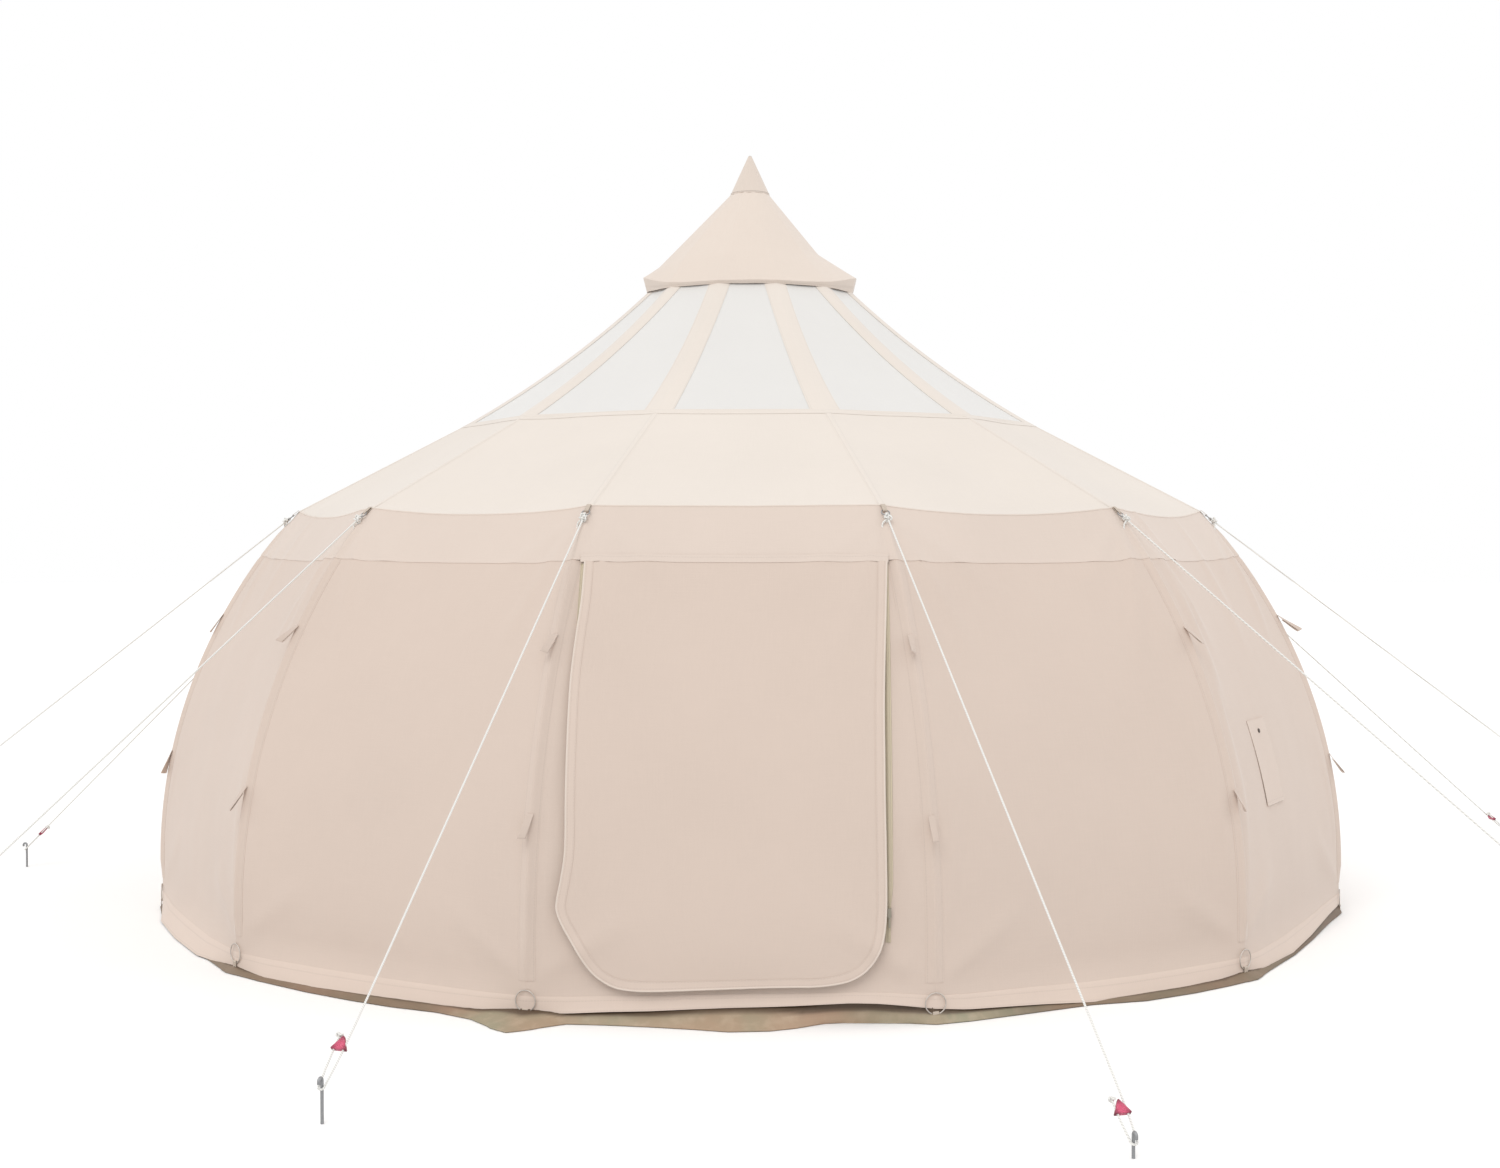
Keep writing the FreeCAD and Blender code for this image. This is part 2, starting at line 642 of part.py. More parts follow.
# ---------------------------------------------------------------- doorway
def rounded_outline(name, half, bottom, top, corner):
    """A plate in the XZ plane with rounded lower corners, deep enough to cut any wall layer."""
    body = doc.addObject("PartDesign::Body", name)
    deep = {"Width": WIDE, "Base_y": -WIDE}
    feature(
        body, "AdditiveBox", f"{name}_upper", Length=f"2 * {half}", Base_x=f"-{half}",
        Height=f"{top} - {bottom} - {corner}", Base_z=f"{bottom} + {corner}", **deep,
    )
    feature(
        body, "AdditiveBox", f"{name}_lower", Length=f"2 * ({half} - {corner})", Base_x=f"-({half} - {corner})",
        Height=f"2 * {corner}", Base_z=bottom, **deep,
    )
    along = FreeCAD.Placement(Vector(0, 0, 0), FreeCAD.Rotation(Vector(1, 0, 0), 90))
    for side, sign in (("left", "-"), ("right", "")):
        feature(
            body, "AdditiveCylinder", f"{name}_{side}", along, Radius=corner, Height=WIDE,
            Base_x=f"{sign}({half} - {corner})", Base_z=f"{bottom} + {corner}",
        )
    return body


def hem_bead(name, half, height, offset, radius):
    """A round bead along the top edge of a wall layer: the line that the layer swings about."""
    arc = f"({WALL_ARC} + ({offset}))"
    bead = make("Part::Cylinder", name, Radius=radius, Height=f"2 * {half}")
    bead.Placement = FreeCAD.Placement(Vector(0, 0, 0), ACROSS)
    return bind(
        bead, Base_x=f"-{half}", Base_z=height,
        Base_y=f"{ARC_Y} - sqrt({arc}^2 - ({height} - Sizes.wall_straight)^2)",
    )


def make_door():
    """The outer flap under its header, the mesh screen inside, and a zip down each side."""
    flap_out = "(Sizes.flap_offset + Sizes.canvas)"
    outline = rounded_outline("flap_plan", "Sizes.flap_half", "Sizes.flap_bottom", FLAP_HINGE,
                              "Sizes.flap_corner")
    flap = wall_skin("flap", "Sizes.flap_offset", flap_out, 0, FLAP_HINGE, outline)
    bead = hem_bead("flap_bead", "Sizes.flap_half", FLAP_HINGE,
                    "Sizes.flap_offset + Sizes.canvas / 2", "Sizes.hem_bead")
    keep(combine("Part::Fuse", "flap_whole", flap, bead), "door_flap")

    header_low = f"({FLAP_HINGE} + Sizes.hem_bead + Sizes.header_clearance)"
    block = box("header_block", ("-Sizes.flap_half", "Sizes.flap_half"), (-WIDE, 0),
                (header_low, f"{header_low} + Sizes.header_height"))
    header = combine(
        "Part::Common", "header", block,
        barrel("header", "2 * Sizes.sewn_gap", "Sizes.flap_offset + Sizes.canvas / 2"),
    )
    keep(header, "door_header")

    screen_out = "(-Sizes.canvas - Sizes.screen_gap)"
    outline = rounded_outline("screen_plan", "Sizes.screen_half", "Sizes.screen_bottom",
                              SCREEN_HINGE, "Sizes.screen_corner")
    screen = wall_skin("screen", f"{screen_out} - Sizes.film", screen_out, 0, SCREEN_HINGE, outline)
    bead = hem_bead("screen_bead", "Sizes.screen_half", SCREEN_HINGE, f"{screen_out} - Sizes.film / 2",
                    "Sizes.screen_bead")
    keep(combine("Part::Fuse", "screen_whole", screen, bead), "door_screen")

    zips = []
    for side, sign in (("left", "-"), ("right", "")):
        place = f"({sign}Sizes.zip_place)"
        track = box(f"{side}_track", (f"{place} - Sizes.zip_half", f"{place} + Sizes.zip_half"),
                    (-WIDE, 0), ("Sizes.zip_low", f"{FLAP_HINGE} - 4 * Sizes.sewn_gap"))
        teeth = barrel(f"{side}_teeth", "Sizes.sewn_gap", "Sizes.sewn_gap + Sizes.zip_depth")
        zips.append(combine("Part::Common", f"{side}_zip", teeth, track))

        seat = "(2 * Sizes.sewn_gap + Sizes.zip_depth)"
        car = combine(
            "Part::Common", f"{side}_car",
            barrel(f"{side}_slider", seat, f"{seat} + Sizes.slider_depth"),
            box(f"{side}_car_block", (f"{place} - Sizes.slider_half", f"{place} + Sizes.slider_half"), (-WIDE, 0),
                ("Sizes.slider_low", "Sizes.slider_low + Sizes.slider_length")),
        )
        pull = combine(
            "Part::Common", f"{side}_pull",
            barrel(f"{side}_tag", f"{seat} + Sizes.slider_depth / 2", f"{seat} + Sizes.slider_depth"),
            box(f"{side}_tag_block", (f"{place} - Sizes.pull_half", f"{place} + Sizes.pull_half"), (-WIDE, 0),
                ("Sizes.slider_low - Sizes.pull_length", "Sizes.slider_low")),
        )
        keep(combine("Part::Fuse", f"{side}_slider", car, pull), f"zip_slider_{side}")
    group("door_zips", zips)


# ---------------------------------------------------------------- cord port
def make_cord_port():
    """A small flap over the cord port, with a press button near its top."""
    low = "(2 * Sizes.sewn_gap)"
    high = f"({low} + Sizes.canvas)"
    sides = ("Sizes.port_centre - Sizes.port_flap_half", "Sizes.port_centre + Sizes.port_flap_half")
    outline = box("port_plan", sides, (-WIDE, 0), ("Sizes.port_flap_low", "Sizes.port_flap_hinge"))
    flap = combine("Part::Common", "port_flap_sheet", barrel("port_flap", low, high), outline)
    bead = hem_bead("port_bead", "Sizes.port_flap_half", "Sizes.port_flap_hinge",
                    f"{low} + Sizes.canvas / 2", "Sizes.hem_bead")
    bind(bead, Base_x="Sizes.port_centre - Sizes.port_flap_half")
    whole = combine("Part::Fuse", "port_flap_whole", flap, bead)
    keep(turned("port_flap", whole, "Sizes.port_azimuth"), "cord_port_flap")

    button = doc.addObject("Part::Cylinder", "button")
    button.Placement = FreeCAD.Placement(Vector(0, 0, 0), FreeCAD.Rotation(Vector(1, 0, 0), 90))
    rise = "(Sizes.button_height - Sizes.wall_straight)"
    arc = f"({WALL_ARC} + {high} + Sizes.sewn_gap / 2)"
    bind(
        button, Radius="Sizes.button_radius", Height="Sizes.button_depth",
        Base_x="Sizes.port_centre", Base_z=f"Sizes.wall_straight + {rise}",
        Base_y=f"{ARC_Y} - sqrt({arc}^2 - {rise}^2)", Turn=f"90 deg - asin({rise} / {arc})",
    )
    keep(turned("port_button", button, "Sizes.port_azimuth"), "cord_port_button")


# ---------------------------------------------------------------- webbing, rings and tabs
def sloping(angle):
    """A placement whose +X points out and down at an angle below the horizontal, in the -Y plane."""
    out = Vector(0, -math.cos(math.radians(angle)), -math.sin(math.radians(angle)))
    side = Vector(1, 0, 0)
    return FreeCAD.Rotation(out, side, out.cross(side), "XYZ")


def guy_angle():
    """How far below the horizontal the eave loops hang: never into a wall that slopes out more."""
    lean = math.degrees(math.asin(value(WALL_RISE) / value(WALL_ARC)))
    return min(value("Sizes.guy_slope"), 90 - lean - value("Sizes.guy_margin"))


def make_eave_rings():
    """At each eave corner a webbing loop holds a steel ring for the guy rope; returns the loops."""
    slope = guy_angle()
    turn = sloping(slope)
    start = Vector(0, -value("Sizes.eave_radius + Sizes.loop_lift"), value("Sizes.eave_height + Sizes.loop_lift"))
    centre = start + turn.multVec(Vector(value(EYE), 0, 0))
    thick, half = value("Sizes.webbing"), value("Sizes.loop_half")
    loop = doc.addObject("PartDesign::Body", "eave_loop")
    corner = start + turn.multVec(Vector(0, -half, -thick / 2))
    feature(
        loop, "AdditiveBox", "eave_strap", FreeCAD.Placement(corner, turn),
        Length="Sizes.loop_length", Width="2 * Sizes.loop_half", Height="Sizes.webbing",
    )
    feature(
        loop, "SubtractiveTorus", "eave_eye", FreeCAD.Placement(centre, turn),
        Radius1="Sizes.ring_radius", Radius2="Sizes.ring_wire + Sizes.ring_clearance",
    )
    ring = doc.addObject("PartDesign::Body", "eave_ring")
    feature(
        ring, "AdditiveTorus", "eave_wire", FreeCAD.Placement(centre, turn),
        Radius1="Sizes.ring_radius", Radius2="Sizes.ring_wire",
    )
    keep(corner_ring(ring), "eave_rings")
    return corner_ring(loop)


EYE = "(Sizes.loop_length - 2.5 * Sizes.ring_wire + Sizes.ring_radius)"


def make_base_rings():
    """At each base corner a webbing loop holds a larger ring against the hem; returns the loops."""
    upright = FreeCAD.Rotation(Vector(1, 0, 0), 90)
    wire = "(Sizes.ring_wire + Sizes.ring_clearance)"
    place_y = f"-(Sizes.base_radius + {wire} + Sizes.ring_clearance)"
    centre_z = "(Sizes.base_loop_height - 2 * Sizes.ring_wire - Sizes.ring_clearance + Sizes.base_ring_radius)"
    loop = doc.addObject("PartDesign::Body", "base_loop")
    feature(
        loop, "AdditiveBox", "base_strap", Length="2 * Sizes.base_loop_half", Width="Sizes.webbing",
        Height="Sizes.base_loop_height - Sizes.sheet_thick - Sizes.sewn_gap", Base_x="-Sizes.base_loop_half",
        Base_y=f"{place_y} - Sizes.webbing / 2", Base_z="Sizes.sheet_thick + Sizes.sewn_gap",
    )
    feature(
        loop, "SubtractiveTorus", "base_eye", FreeCAD.Placement(Vector(0, 0, 0), upright),
        Radius1="Sizes.base_ring_radius", Radius2=wire, Base_y=place_y, Base_z=centre_z,
    )
    ring = doc.addObject("PartDesign::Body", "base_ring")
    feature(
        ring, "AdditiveTorus", "base_wire", FreeCAD.Placement(Vector(0, 0, 0), upright),
        Radius1="Sizes.base_ring_radius", Radius2="Sizes.ring_wire", Base_y=place_y, Base_z=centre_z,
    )
    keep(corner_ring(ring), "base_rings")
    return corner_ring(loop)


def make_tie_tabs():
    """Two canvas tabs on each pole line, standing out and down from the wall."""
    turn = sloping(value("Sizes.tab_slope"))
    tabs = []
    for name in ("high", "low"):
        height = f"(Sizes.tab_{name}_share * Sizes.eave_height)"
        arc_part = f"sqrt({WALL_ARC}^2 - ({height} - Sizes.wall_straight)^2)"
        radius = f"(({arc_part} - {ARC_Y}) / cos({HALF}))"
        tab = doc.addObject("PartDesign::Body", f"tab_{name}")
        start = Vector(0, -value(f"{radius} + 0.6 * Sizes.tab_thick"), value(height))
        corner = start + turn.multVec(Vector(0, -value("Sizes.tab_width") / 2, -value("Sizes.tab_thick") / 2))
        feature(
            tab, "AdditiveBox", f"tab_{name}_strap", FreeCAD.Placement(corner, turn),
            Length="Sizes.tab_length", Width="Sizes.tab_width", Height="Sizes.tab_thick",
        )
        ring_of(tab)
        tabs.append(tab)
    group = doc.addObject("Part::Compound", "tabs")
    group.Links = tabs
    group.Placement = FreeCAD.Placement(Vector(0, 0, 0), FreeCAD.Rotation(Vector(0, 0, 1), 1))
    keep(bind(group, Turn=HALF), "wall_tie_tabs")


# ---------------------------------------------------------------- guy lines
def spot(azimuth, radius, height):
    """A point at an azimuth, a radius and a height."""
    angle = math.radians(azimuth)
    return Vector(radius * math.sin(angle), -radius * math.cos(angle), height)


def guy_frame(guy):
    """Where a guy line runs: the rope's start at the ring, its turn round the peg, and three axes."""
    name, corner, peg_azimuth, reach_share, height_share, runner_share = guy
    slope = math.radians(guy_angle())
    loop = spot(corner, value("Sizes.eave_radius + Sizes.loop_lift"), value("Sizes.eave_height + Sizes.loop_lift"))
    fall = spot(corner, math.cos(slope), -math.sin(slope))
    peg = spot(
        peg_azimuth, value(f"Sizes.base_radius * {reach_share}"),
        value(f"Sizes.peg_height * {height_share} - Sizes.rope_below_hook"),
    )
    away = peg - loop
    # the rope's end is cut square, so where it leaves at an angle it stands off the ring by more
    askew = value("Sizes.rope_radius") * math.sin(fall.getAngle(away))
    start = loop + fall * (value(f"{EYE} + Sizes.ring_radius + Sizes.ring_wire + Sizes.cloth_clearance") + askew)
    away.z = 0
    turn = peg + away.normalize() * value("Sizes.peg_slack")
    up = (start - turn).normalize()
    side = Vector(0, 0, 1).cross(up).normalize()
    return start, turn, up, side, up.cross(side)


def runner_distance(guy):
    """How far up the rope from the peg a runner stands."""
    return value(f"Sizes.runner_distance * {guy[5]}")


def guy_route(guy):
    """The rope: straight from the ring to the peg, half a turn round it, and back past the runner."""
    start, turn, up, side, face = guy_frame(guy)
    half = value("Sizes.strand_half")
    end = runner_distance(guy) + value("Sizes.runner_size / 2 + Sizes.rope_tail")
    down_foot = turn - side * half
    up_foot = turn + side * half
    return start, down_foot, turn - up * half, up_foot, up_foot + up * end


def make_ropes():
    """Each rope is a tube along its route, and its volume is checked against its length."""
    radius = value("Sizes.rope_radius")
    for guy in GUYS:
        start, down_foot, far, up_foot, end = guy_route(guy)
        edges = [
            Part.LineSegment(start, down_foot).toShape(),
            Part.Arc(down_foot, far, up_foot).toShape(),
            Part.LineSegment(up_foot, end).toShape(),
        ]
        path = Part.Wire(edges)
        direction = (down_foot - start).normalize()
        section = Part.Wire([Part.makeCircle(radius, start, direction)])
        shape = path.makePipeShell([section], True, False, 2)
        rope = doc.addObject("Part::Feature", f"rope_{guy[0]}")
        rope.Shape = shape
        expected = math.pi * radius**2 * path.Length
        print(f"{guy[0]}: rope {path.Length:.0f} mm, bend radius {value('Sizes.strand_half'):.0f} mm, "
              f"volume {shape.Volume / expected:.4f} of section times length")
        keep(rope, f"guy_rope_{guy[0]}")


def make_runners():
    """Three-sided runners: one hole for the standing rope and one for the strand back from the peg."""
    for guy in GUYS:
        start, turn, up, side, face = guy_frame(guy)
        runner = doc.addObject("PartDesign::Body", f"runner_body_{guy[0]}")
        prism = feature(
            runner, "AdditivePrism", f"runner_block_{guy[0]}",
            Polygon=3, Circumradius="Sizes.runner_size", Height="Sizes.runner_depth",
            Base_z="-Sizes.runner_depth / 2",
        )
        doc.recompute()
        rounding = runner.newObject("PartDesign::Fillet", f"runner_rounding_{guy[0]}")
        upright = [
            f"Edge{number}" for number, edge in enumerate(prism.Shape.Edges, start=1)
            if abs(edge.Vertexes[0].Z - edge.Vertexes[-1].Z) > 1
        ]
        rounding.Base = (prism, upright)
        bind(rounding, Radius="Sizes.runner_rounding")
        for strand, sign in (("standing", "-"), ("return", "")):
            feature(
                runner, "SubtractiveCylinder", f"{strand}_hole_{guy[0]}",
                FreeCAD.Placement(Vector(0, 0, 0), ACROSS),
                Radius="Sizes.rope_radius + Sizes.rope_clearance", Height="4 * Sizes.runner_size",
                Base_x="-2 * Sizes.runner_size", Base_y=f"{sign}Sizes.strand_half",
            )
        runner.Placement = FreeCAD.Placement(
            turn + up * runner_distance(guy), FreeCAD.Rotation(up, side, face, "XYZ"),
        )
        keep(runner, f"guy_runner_{guy[0]}")


def peg_shape(azimuth, distance, height):
    """A round steel peg from the ground up, with its hook bent over away from the tent."""
    radius, bend, tail = (value(f"Sizes.{word}") for word in ("peg_radius", "hook_radius", "hook_tail"))
    out = spot(azimuth, 1, 0)
    foot = spot(azimuth, distance, 0)
    shoulder = foot + Vector(0, 0, height - bend)
    tip = shoulder + out * 2 * bend
    path = Part.Wire([
        Part.LineSegment(foot, shoulder).toShape(),
        Part.Arc(shoulder, shoulder + out * bend + Vector(0, 0, bend), tip).toShape(),
        Part.LineSegment(tip, tip - Vector(0, 0, tail)).toShape(),
    ])
    section = Part.Wire([Part.makeCircle(radius, foot, Vector(0, 0, 1))])
    return path.makePipeShell([section], True, False, 2)


def make_pegs():
    pegs = doc.addObject("Part::Feature", "pegs")
    pegs.Shape = Part.makeCompound([
        peg_shape(guy[2], value(f"Sizes.base_radius * {guy[3]}"), value(f"Sizes.peg_height * {guy[4]}"))
        for guy in GUYS
    ])
    keep(pegs, "guy_pegs")


make_groundsheet()
make_walls()
make_roof()
make_cap()
make_centre_pole()
make_wall_poles()
make_door()
make_cord_port()
group("webbing_loops", [make_eave_rings(), make_base_rings()])
make_tie_tabs()
make_ropes()
make_runners()
make_pegs()
doc.recompute()

for item in doc.Objects:
    if "Invalid" in item.State or "Error" in item.State:
        raise RuntimeError(f"{item.Name} ({item.Label}) failed: {item.State}")
os.makedirs("parts", exist_ok=True)
for item in FINISHED:
    if item.Shape.isNull() or not item.Shape.isValid() or not item.Shape.Solids:
        raise RuntimeError(f"{item.Label} has no valid shape")
for item in FINISHED:
    item.Shape.exportStep(f"parts/{item.Label}.step")
print(f"{len(FINISHED)} nodes, {sum(len(item.Shape.Solids) for item in FINISHED)} solids")
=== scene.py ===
"""A twelve-sided cotton bell tent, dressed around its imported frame.

The cloth is built panel by panel from the tent's own sizes: every layer on a wall shares one
relief, so the flap, the screen and the tapes lie on the canvas that they are sewn to.
"""
import math

import bpy
from mathutils import Matrix, Vector, noise


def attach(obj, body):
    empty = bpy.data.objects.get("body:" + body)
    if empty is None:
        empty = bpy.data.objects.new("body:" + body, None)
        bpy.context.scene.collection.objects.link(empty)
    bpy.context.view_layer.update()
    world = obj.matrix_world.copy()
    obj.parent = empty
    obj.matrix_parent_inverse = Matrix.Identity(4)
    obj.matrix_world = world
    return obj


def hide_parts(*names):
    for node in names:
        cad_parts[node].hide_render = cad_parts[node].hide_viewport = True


bl_info = {
    "name": "Bell tent",
    "version": (1, 0, 0),
    "blender": (4, 5, 0),
    "location": "3D View > Sidebar > Bell Tent",
    "description": "Dresses a packed bell tent in canvas, film, webbing, rope and steel",
    "category": "Object",
}

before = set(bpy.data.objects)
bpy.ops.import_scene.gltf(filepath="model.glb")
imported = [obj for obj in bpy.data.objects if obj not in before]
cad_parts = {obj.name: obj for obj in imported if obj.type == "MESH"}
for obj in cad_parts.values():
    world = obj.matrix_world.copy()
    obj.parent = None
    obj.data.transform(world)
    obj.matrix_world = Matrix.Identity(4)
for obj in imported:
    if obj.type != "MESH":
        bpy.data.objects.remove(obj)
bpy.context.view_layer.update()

# ------------------------------------------------------------------ the tent's own sizes, in metres
PANELS = 12
STEP = math.tau / PANELS
HALF = STEP / 2
UP = Vector((0, 0, 1))
BASE_RADIUS, EAVE_RADIUS = 2.5, 1.94
BASE_FLAT, EAVE_FLAT = BASE_RADIUS * math.cos(HALF), EAVE_RADIUS * math.cos(HALF)
UPRIGHT, HEM, SEAM, EAVE = 0.2, 0.045, 1.45, 1.64
WALL_ARC = ((BASE_FLAT - EAVE_FLAT) ** 2 + (EAVE - UPRIGHT) ** 2) / (2 * (BASE_FLAT - EAVE_FLAT))
TIP_RADIUS, TIP_END, TIP_TOP = 0.086, 0.007, 3.212
BREAK_FLAT, BREAK = 1.25 * math.cos(HALF), EAVE + 0.2327044 * (TIP_TOP - EAVE)
CROWN_FLAT, CROWN = 0.46 * math.cos(HALF), EAVE + 0.6069182 * (TIP_TOP - EAVE)
VENT_FLAT, VENT_TOP = 0.08 * math.cos(HALF), EAVE + 0.8861635 * (TIP_TOP - EAVE)
CAP_LOW = CROWN - 0.005
CAP_TOP_RADIUS, CAP_TOP = 0.085, VENT_TOP + 0.007
WINDOW_SAG = 0.029
CANVAS = 0.003
DOOR = 0.46
PORT_PANEL = 2
PORT_HOLE = (-0.22, -0.12, 0.62, 0.77)

# Each guy line: azimuth of its eave corner, azimuth and radius of its peg,
# how high the peg stands, and the runner's distance up the rope from the peg.
GUYS = {
    "front_left": (-15, -16.5, 3.611, 0.122, 0.125),
    "front_right": (15, 15.8, 3.823, 0.066, 0.092),
    "right_front": (45, 45.0, 4.05, 0.11, 0.125),
    "right_middle": (75, 75.0, 3.95, 0.11, 0.125),
    "right_rear": (105, 104.0, 3.8, 0.11, 0.125),
    "rear_right_side": (135, 134.5, 3.85, 0.11, 0.125),
    "rear_right": (165, 165.5, 3.78, 0.11, 0.125),
    "rear_left": (-165, -165.0, 3.82, 0.11, 0.125),
    "rear_left_side": (-135, -134.0, 3.86, 0.11, 0.125),
    "left_rear": (-105, -94.8, 3.385, 0.11, 0.105),
    "left_middle": (-75, -75.0, 3.87, 0.11, 0.125),
    "left_front": (-45, -45.0, 3.85, 0.11, 0.125),
}


def linear(code):
    """An sRGB hex colour as linear RGBA."""
    parts = [int(code[i:i + 2], 16) / 255 for i in (1, 3, 5)]
    return tuple(v / 12.92 if v <= 0.04045 else ((v + 0.055) / 1.055) ** 2.4 for v in parts) + (1.0,)


def size(name, default, description, unit="LENGTH"):
    """A size that a user can set."""
    return bpy.props.FloatProperty(name=name, default=default, description=description, unit=unit,
                                   precision=4)


def colour(name, code, description):
    """A colour that a user can set, from sRGB hex."""
    return bpy.props.FloatVectorProperty(name=name, subtype="COLOR", size=3, min=0, max=1,
                                         default=linear(code)[:3], description=description)


class TentShape(bpy.types.PropertyGroup):
    """How the cloth hangs."""
    eave_sag: size("Eave sag", 0.030, "How far the eave dips between two poles")
    seam_arch: size("Band seam arch", 0.010, "How far the band's seam rises beside a pole")
    hollow: size("Wall hollow", 0.010, "How far a wall panel draws in between its poles")
    ripple: size("Wall ripple", 0.005, "Height of the slow waves in the walls")
    sleeve: size("Sleeve ridge", 0.007, "How far a pole sleeve stands out of the wall")
    flare: size("Hem flare", 1.0, "How far the hem kicks out at the ground, as a share", "NONE")
    roof_hollow: size("Roof hollow", 0.014, "How far a roof panel draws in")
    rope: size("Rope diameter", 0.006, "Diameter of the guy ropes")
    strand: size("Strand spread", 0.015, "Half the gap between the rope's strands at a runner")


class TentColours(bpy.types.PropertyGroup):
    """The finishes' colours."""
    wall: colour("Wall canvas", "#D4C3B7", "Natural cotton of the walls")
    band: colour("Band canvas", "#D8C9BE", "Natural cotton of the band under the eave")
    roof: colour("Roof canvas", "#E0D7CE", "Natural cotton of the roof")
    cap: colour("Cap canvas", "#DED1C6", "Natural cotton of the rain cap")
    film: colour("Window film", "#E4E2DF", "Hazy clear film of the roof windows")
    sheet: colour("Groundsheet", "#AA9783", "Coated cloth of the groundsheet")
    webbing: colour("Webbing", "#CFC1B2", "Webbing of the ring loops")
    rope: colour("Rope", "#F1F0EC", "Guy ropes")
    runner: colour("Runner", "#E2557A", "Moulded line runners")


# ------------------------------------------------------------------ materials
def add(tree, kind, inputs=None, out=None, **settings):
    """Adds a node with its settings; each input is a value or another node's socket.

    Returns the node, or its output 'out' where one is named or numbered.
    """
    made = tree.nodes.new("ShaderNode" + kind)
    for name, setting in settings.items():
        setattr(made, name, setting)
    for socket, given in (inputs or {}).items():
        if isinstance(given, bpy.types.NodeSocket):
            tree.links.new(given, made.inputs[socket])
        else:
            made.inputs[socket].default_value = given
    return made if out is None else made.outputs[out]


def start(name):
    """A new material and its node tree."""
    material = bpy.data.materials.new(name)
    material.use_nodes = True
    return material, material.node_tree


def dress(material, base, rough, bump=(), **values):
    """Links a finish to its shader: colour, roughness, and a bump's strength, distance and height.

    'values' are plain sockets, with underscores in place of spaces.
    """
    tree = material.node_tree
    inputs = tree.nodes["Principled BSDF"].inputs
    tree.links.new(base, inputs["Base Color"])
    tree.links.new(rough, inputs["Roughness"])
    if bump:
        relief = dict(zip(("Strength", "Distance", "Height"), bump))
        tree.links.new(add(tree, "Bump", relief, 0), inputs["Normal"])
    for name, value in values.items():
        inputs[name.replace("_", " ")].default_value = value
    return material


def shade(tint, amount):
    """A colour made darker or lighter by a factor, as RGBA."""
    return tuple(min(1.0, part * amount) for part in tuple(tint)[:3]) + (1.0,)


def toned(tint, amount=1):
    """A colour setting times a factor, as three numbers."""
    return tuple(part * amount for part in tint)


def canvas(name, tint, stitches=()):
    """Cotton canvas, plain weave, undyed: matte and a little fuzzy, with slubs in its threads,
    slow cloudy shading, and rows of thread where a seam is given, at metres from a tape's edge."""
    if name in bpy.data.materials:
        return bpy.data.materials[name]
    material, tree = start(name)
    cloth_map = add(tree, "UVMap", out=0, uv_map="cloth")
    place = add(tree, "TexCoord", out="Object")
    # threads are 0.6 mm apart; their slubs are drawn 5 mm wide and 90 mm long, so that they show
    slubs = []
    for across, along in ((200, 11), (11, 200)):
        stretched = add(tree, "Mapping", {"Vector": cloth_map, "Scale": (across, along, 1)}, 0)
        slubs.append(add(tree, "TexNoise", {"Vector": stretched, "Scale": 1.0, "Detail": 2.0}, 0))
    slub = add(tree, "Math", {0: slubs[0], 1: slubs[1]}, 0, operation="ADD")
    # clouds: 0.5 m drifts of tone, and 60 mm mottling
    base = shade(tint, 0.955)
    mottle = add(tree, "TexNoise", {"Vector": place, "Scale": 17.0, "Detail": 4.0}, 0)
    drift = add(tree, "TexNoise", {"Vector": place, "Scale": 2.0, "Detail": 3.0}, 0)
    for pattern, gain, offset, tone in (
            (drift, 1.6, -0.3, 1.02), (mottle, 0.5, -0.1, 0.97), (slub, 0.55, -0.42, 1.04)):
        share = add(tree, "Math", {0: pattern, 1: gain, 2: offset}, 0, operation="MULTIPLY_ADD")
        base = add(tree, "Mix", {0: share, 6: base, 7: shade(tint, tone)}, 2, data_type="RGBA")
    height = add(tree, "Math", {0: slub, 1: 0.5}, 0, operation="MULTIPLY")
    if stitches:
        axes = add(tree, "SeparateXYZ", {0: cloth_map})
        # stitches 4 mm long, drawn 10 mm long and 2 mm wide so that they show
        dash = add(tree, "Math", {0: axes.outputs[0], 1: math.tau / 0.010}, 0, operation="MULTIPLY")
        dash = add(tree, "Math", {0: dash}, 0, operation="SINE")
        dash = add(tree, "Math", {0: dash, 1: 0.3, 2: 0.7}, 0, operation="MULTIPLY_ADD")
        rows = 0.0
        for row in stitches:
            near = add(tree, "Math", {0: axes.outputs[1], 1: row, 2: 0.0016}, 0, operation="COMPARE")
            rows = add(tree, "Math", {0: rows, 1: near}, 0, operation="MAXIMUM")
        seam = add(tree, "Math", {0: rows, 1: dash}, 0, operation="MULTIPLY")
        share = add(tree, "Math", {0: seam, 1: 0.4}, 0, operation="MULTIPLY")
        base = add(tree, "Mix", {0: share, 6: base, 7: shade(tint, 0.80)}, 2, data_type="RGBA")
        height = add(tree, "Math", {0: seam, 1: -0.7, 2: height}, 0, operation="MULTIPLY_ADD")
    rough = add(tree, "Math", {0: mottle, 1: 0.1, 2: 0.84}, 0, operation="MULTIPLY_ADD")
    return dress(material, base, rough, (0.35, 0.0008, height), IOR=1.45, Specular_IOR_Level=0.2,
                 Sheen_Weight=0.30, Sheen_Roughness=0.45)


